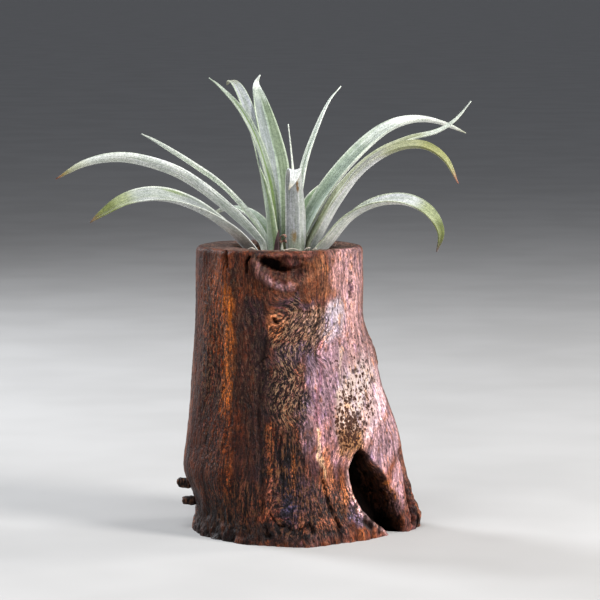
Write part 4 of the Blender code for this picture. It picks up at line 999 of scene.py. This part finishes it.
def make_leaf(name, leaf, seed):
    """A thin blade with rounded margins, following the same midrib, channel and roll as its solid."""
    ring = leaf["ring"]
    foot = RING_RADIUS[ring]
    azimuth = math.radians(leaf["azimuth"])
    outward = Vector((math.cos(azimuth), math.sin(azimuth), 0.0))
    sideways = Vector((-math.sin(azimuth), math.cos(azimuth), 0.0))
    path = ((foot, RING_FOOT[ring]), *leaf["path"])
    length = smooth_path(path, 3)[1]
    leaf["length"], leaf["seed"] = length, seed * 3.7
    stations = max(30, min(84, round(length / 0.9)))
    columns = 17
    centre = []
    for k, (reach, height) in enumerate(smooth_path(path, stations)[0]):
        along = k / (stations - 1)
        swing = leaf.get("sway", 0.0) * along**SWAY_POWER
        centre.append(Vector((AXIS_X, 0.0, height)) + outward * reach + sideways * swing)
    bm = bmesh.new()
    layer = bm.loops.layers.uv.new("blade")
    upper, lower = [], []
    for k, place in enumerate(centre):
        along = k / (stations - 1)
        tangent = (centre[min(k + 1, stations - 1)] - centre[max(k - 1, 0)]).normalized()
        side = (sideways - tangent * sideways.dot(tangent)).normalized()
        side = Matrix.Rotation(math.radians(blend(*leaf["roll"], along)), 3, tangent) @ side
        inward = tangent.cross(side)
        wrap = math.radians(2 * leaf["wrap"])
        opened = along / leaf.get("blade_from", BLADE_FROM)
        full = blend(wrap * foot, leaf["width"], opened)
        width = max(TIP_WIDTH, full * (1.0 - along**leaf.get("taper", 2.4)) ** 0.85)
        turn = blend(wrap, math.radians(leaf["turn"]), opened)
        radius = width / turn
        thin = min(1.0, 0.35 + width / 4.0)
        above, below = [], []
        for c in range(columns):
            across = math.sin(math.pi / 2 * (2.0 * c / (columns - 1) - 1.0))
            angle = turn * across / 2
            middle = place + side * radius * math.sin(angle) + inward * radius * (1 - math.cos(angle))
            normal = inward * math.cos(angle) - side * math.sin(angle)
            edge = abs(across) ** 4
            wave = noise.noise(Vector((along * length / 7.0, across * 1.2, seed * 5.1)))
            middle += normal * wave * 0.16 * (0.3 + 0.7 * edge) * min(1.0, along * 4)
            half = (BLADE_THICKNESS + (MARGIN_THICKNESS - BLADE_THICKNESS) * edge) / 2 * thin
            above.append(bm.verts.new((middle + normal * half) * MM))
            below.append(bm.verts.new((middle - normal * half) * MM))
        upper.append(above)
        lower.append(below)

    def face(corners, uvs):
        made = bm.faces.new(corners)
        made.smooth = True
        for loop, uv in zip(made.loops, uvs):
            loop[layer].uv = uv

    for k in range(stations - 1):
        v, w = k / (stations - 1), (k + 1) / (stations - 1)
        for c in range(columns - 1):
            a = 0.5 + math.sin(math.pi / 2 * (2.0 * c / (columns - 1) - 1.0)) / 2
            b = 0.5 + math.sin(math.pi / 2 * (2.0 * (c + 1) / (columns - 1) - 1.0)) / 2
            face((upper[k][c], upper[k][c + 1], upper[k + 1][c + 1], upper[k + 1][c]),
                 ((a, v), (b, v), (b, w), (a, w)))
            face((lower[k][c], lower[k + 1][c], lower[k + 1][c + 1], lower[k][c + 1]),
                 ((2 + a, v), (2 + a, w), (2 + b, w), (2 + b, v)))
        face((lower[k][0], upper[k][0], upper[k + 1][0], lower[k + 1][0]), ((0, v), (0, v), (0, w), (0, w)))
        face((upper[k][-1], lower[k][-1], lower[k + 1][-1], upper[k + 1][-1]), ((1, v), (1, v), (1, w), (1, w)))
    for c in range(columns - 1):
        u = c / (columns - 1)
        face((upper[0][c], lower[0][c], lower[0][c + 1], upper[0][c + 1]), ((u, 0),) * 4)
        face((lower[-1][c], upper[-1][c], upper[-1][c + 1], lower[-1][c + 1]), ((u, 1),) * 4)
    bmesh.ops.recalc_face_normals(bm, faces=bm.faces)
    mesh = bpy.data.meshes.new(name + "_blade")
    bm.to_mesh(mesh)
    bm.free()
    mesh.materials.append(leaf_look(name, leaf))
    blade = bpy.data.objects.new(name + "_blade", mesh)
    bpy.context.scene.collection.objects.link(blade)
    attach(blade, "root")
    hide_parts(name)


def make_stem():
    """The short stem with its cone of old sheath bases, ringed and fibrous."""
    sides, rows = 96, 90
    profile, _ = smooth_path([(r, z) for r, z in STEM_PROFILE[1:-1]], rows)
    verts, faces = [], []
    for k, (r, z) in enumerate(profile):
        for c in range(sides):
            a = 2 * math.pi * c / sides
            rough = 0.16 * noise.noise(Vector((math.cos(a) * 5, math.sin(a) * 5, z * 0.8)))
            rings = -0.12 * (0.5 + 0.5 * math.sin(z * 3.0 + 2.0 * math.sin(a * 3)))
            reach = max(0.2, r + rough + rings)
            verts.append(((AXIS_X + reach * math.cos(a)) * MM, reach * math.sin(a) * MM, z * MM))
    for k in range(rows - 1):
        for c in range(sides):
            a, b = k * sides + c, k * sides + (c + 1) % sides
            faces.append((a + sides, b + sides, b, a))
    faces.append(tuple(range(sides)))
    faces.append(tuple((rows - 1) * sides + c for c in reversed(range(sides))))
    mesh = bpy.data.meshes.new("stem_surface")
    mesh.from_pydata(verts, [], faces)
    mesh.update()
    mesh.shade_smooth()
    look = Look("stem_bark", (120, 100, 72))
    fibre = look.noise(look.place((0.5, 0.5, 3.0)), detail=4.0)
    grit = look.noise(look.place((0.3, 0.3, 0.3)), detail=2.0)
    colour = look.mix(look.step(fibre, 0.35, 0.65), linear((70, 50, 36)), linear((168, 146, 108)))
    colour = look.mix(look.step(grit, 0.5, 0.7), colour, linear((52, 38, 30)))
    mesh.materials.append(look.set(Base_Color=colour, Roughness=0.85, Normal=look.bump(fibre, 0.25)))
    stem = bpy.data.objects.new("stem_surface", mesh)
    bpy.context.scene.collection.objects.link(stem)
    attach(stem, "root")
    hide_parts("stem")


# Dry scraps left among the leaf feet, in millimetres: a name, its colours and its strips. A strip is its middle
# line, the direction across it, its width and its thickness.
SCRAPS = (
    ("dry_curl", (88, 50, 48), (158, 122, 104), (
        (((-4.8, -7.4, 77.2), (-5.2, -7.7, 78.0), (-5.0, -8.0, 79.0), (-4.3, -8.3, 79.5), (-3.7, -8.3, 79.0),
          (-3.9, -8.0, 78.5)), (0.35, 0.9, 0.1), 1.5, 0.22),
        (((-4.7, -7.6, 77.6), (-4.0, -8.3, 77.9), (-3.6, -8.9, 77.5)), (0.1, 0.4, 0.9), 0.8, 0.25),
    )),
    ("pale_scraps", (160, 148, 132), (204, 196, 182), (
        (((-4.4, -17.0, 76.1), (-2.9, -16.4, 76.35), (-1.6, -16.3, 76.4), (-0.3, -16.9, 76.1)), (0.2, 0.9, 0.1), 0.34, 0.3),
        (((1.2, -14.6, 76.0), (1.9, -14.8, 76.5), (2.7, -14.7, 76.6)), (0.2, 0.9, 0.2), 0.8, 0.25),
        (((3.2, -15.0, 76.0), (4.0, -15.2, 76.5), (4.3, -15.6, 76.4)), (0.5, 0.8, 0.2), 0.6, 0.25),
        (((-13.6, -13.4, 76.1), (-12.6, -14.2, 76.5), (-11.7, -14.3, 76.1)), (0.3, 0.9, 0.2), 0.7, 0.3),
    )),
)


def make_scraps():
    """Small curled strips of dead leaf and husk on the rim and the stub."""
    for name, dark, pale, strips in SCRAPS:
        look = Look(name + "_surface", dark)
        streaks = look.noise(look.place((0.35, 0.35, 0.9)), detail=3.0)
        look.set(Base_Color=look.mix(look.step(streaks, 0.38, 0.62), linear(dark), linear(pale)), Roughness=0.7,
                 Normal=look.bump(streaks, 0.12))
        bm = bmesh.new()
        for line, across, width, thick in strips:
            middle = smooth_path(line, 22)[0]
            rings = []
            for k, place in enumerate(middle):
                tangent = (middle[min(k + 1, 21)] - middle[max(k - 1, 0)]).normalized()
                side = (Vector(across) - tangent * tangent.dot(Vector(across))).normalized()
                up = tangent.cross(side)
                taper = 0.35 + 0.65 * math.sin(math.pi * (0.15 + 0.7 * k / 21))
                ragged = 1.0 + 0.25 * noise.noise(place * 2.3)
                ring = []
                for a in range(10):
                    turn = 2 * math.pi * a / 10
                    ring.append(bm.verts.new((place + side * math.cos(turn) * width / 2 * taper * ragged
                                              + up * math.sin(turn) * thick / 2) * MM))
                rings.append(ring)
            for one, two in zip(rings, rings[1:]):
                for a in range(10):
                    bm.faces.new((one[a], one[(a + 1) % 10], two[(a + 1) % 10], two[a]))
            bm.faces.new(rings[0][::-1])
            bm.faces.new(rings[-1])
        bmesh.ops.recalc_face_normals(bm, faces=bm.faces)
        mesh = bpy.data.meshes.new(name)
        bm.to_mesh(mesh)
        bm.free()
        mesh.shade_smooth()
        mesh.materials.append(look.material)
        scrap = bpy.data.objects.new(name, mesh)
        bpy.context.scene.collection.objects.link(scrap)
        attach(scrap, "root")


# ---- Floor, light and camera


def make_stage():
    look = Look("pale_floor", (214, 212, 208))
    soft = look.noise(look.place((60.0, 60.0, 60.0)), detail=2.0)
    colour = look.mix(look.step(soft, 0.3, 0.7), (0.44, 0.435, 0.425), (0.48, 0.475, 0.465))
    look.set(Base_Color=colour, Roughness=0.9)
    mesh = bpy.data.meshes.new("floor")
    mesh.from_pydata([(-40, -40, 0), (40, -40, 0), (40, 40, 0), (-40, 40, 0)], [], [(0, 1, 2, 3)])
    mesh.materials.append(look.material)
    floor = bpy.data.objects.new("floor", mesh)
    bpy.context.scene.collection.objects.link(floor)

    world = bpy.data.worlds.new("studio")
    bpy.context.scene.world = world
    world.use_nodes = True
    world.node_tree.nodes["Background"].inputs["Color"].default_value = (0.86, 0.90, 1.0, 1.0)
    world.node_tree.nodes["Background"].inputs["Strength"].default_value = 0.18

    def area(name, place, target, size, power, colour):
        light = bpy.data.lights.new(name, "AREA")
        light.shape = "DISK"
        light.size = size
        light.energy = power
        light.color = colour
        obj = bpy.data.objects.new(name, light)
        obj.location = place
        obj.rotation_euler = (Vector(target) - Vector(place)).to_track_quat("-Z", "Y").to_euler()
        bpy.context.scene.collection.objects.link(obj)

    area("key", (0.52, -0.34, 0.40), (0.0, 0.0, 0.06), 0.24, 5.6, (1.0, 0.97, 0.95))
    area("top", (-0.14, -0.26, 0.62), (0.0, 0.0, 0.08), 0.34, 2.4, (0.96, 0.98, 1.0))
    area("fill", (-0.45, -0.65, 0.40), (0.0, 0.0, 0.06), 0.50, 0.6, (0.92, 0.95, 1.0))
    area("rim", (-0.46, 0.36, 0.34), (0.0, 0.0, 0.08), 0.22, 3.8, (0.92, 0.95, 1.0))
    area("edge", (0.60, 0.24, 0.26), (0.0, 0.0, 0.06), 0.24, 2.2, (1.0, 0.97, 0.95))


def make_camera():
    data = bpy.data.cameras.new("camera")
    data.sensor_width = 36.0
    data.lens = 192.3
    data.clip_start, data.clip_end = 0.01, 200.0
    camera = bpy.data.objects.new("camera", data)
    place, target = Vector((0.0, -0.850, 0.150)), Vector((0.0, 0.0, 0.0613))
    camera.location = place
    camera.rotation_euler = (target - place).to_track_quat("-Z", "Y").to_euler()
    bpy.context.scene.collection.objects.link(camera)
    bpy.context.scene.camera = camera


for old in list(bpy.data.objects):
    bpy.data.objects.remove(old, do_unlink=True)
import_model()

bpy.context.scene.view_settings.view_transform = "Standard"
make_camera()
make_stage()
driftwood = wood_look("driftwood_surface", 0.19)
# The second copy of the wood, with less gloss, is a shaded copy for the faces under heavy painted shade
make_log(driftwood, wood_look("driftwood_in_shade", 0.06))
make_knobs(driftwood)
make_stem()
for number, (leaf_name, leaf_facts) in enumerate(LEAVES.items()):
    make_leaf(leaf_name, leaf_facts, number)
make_scraps()
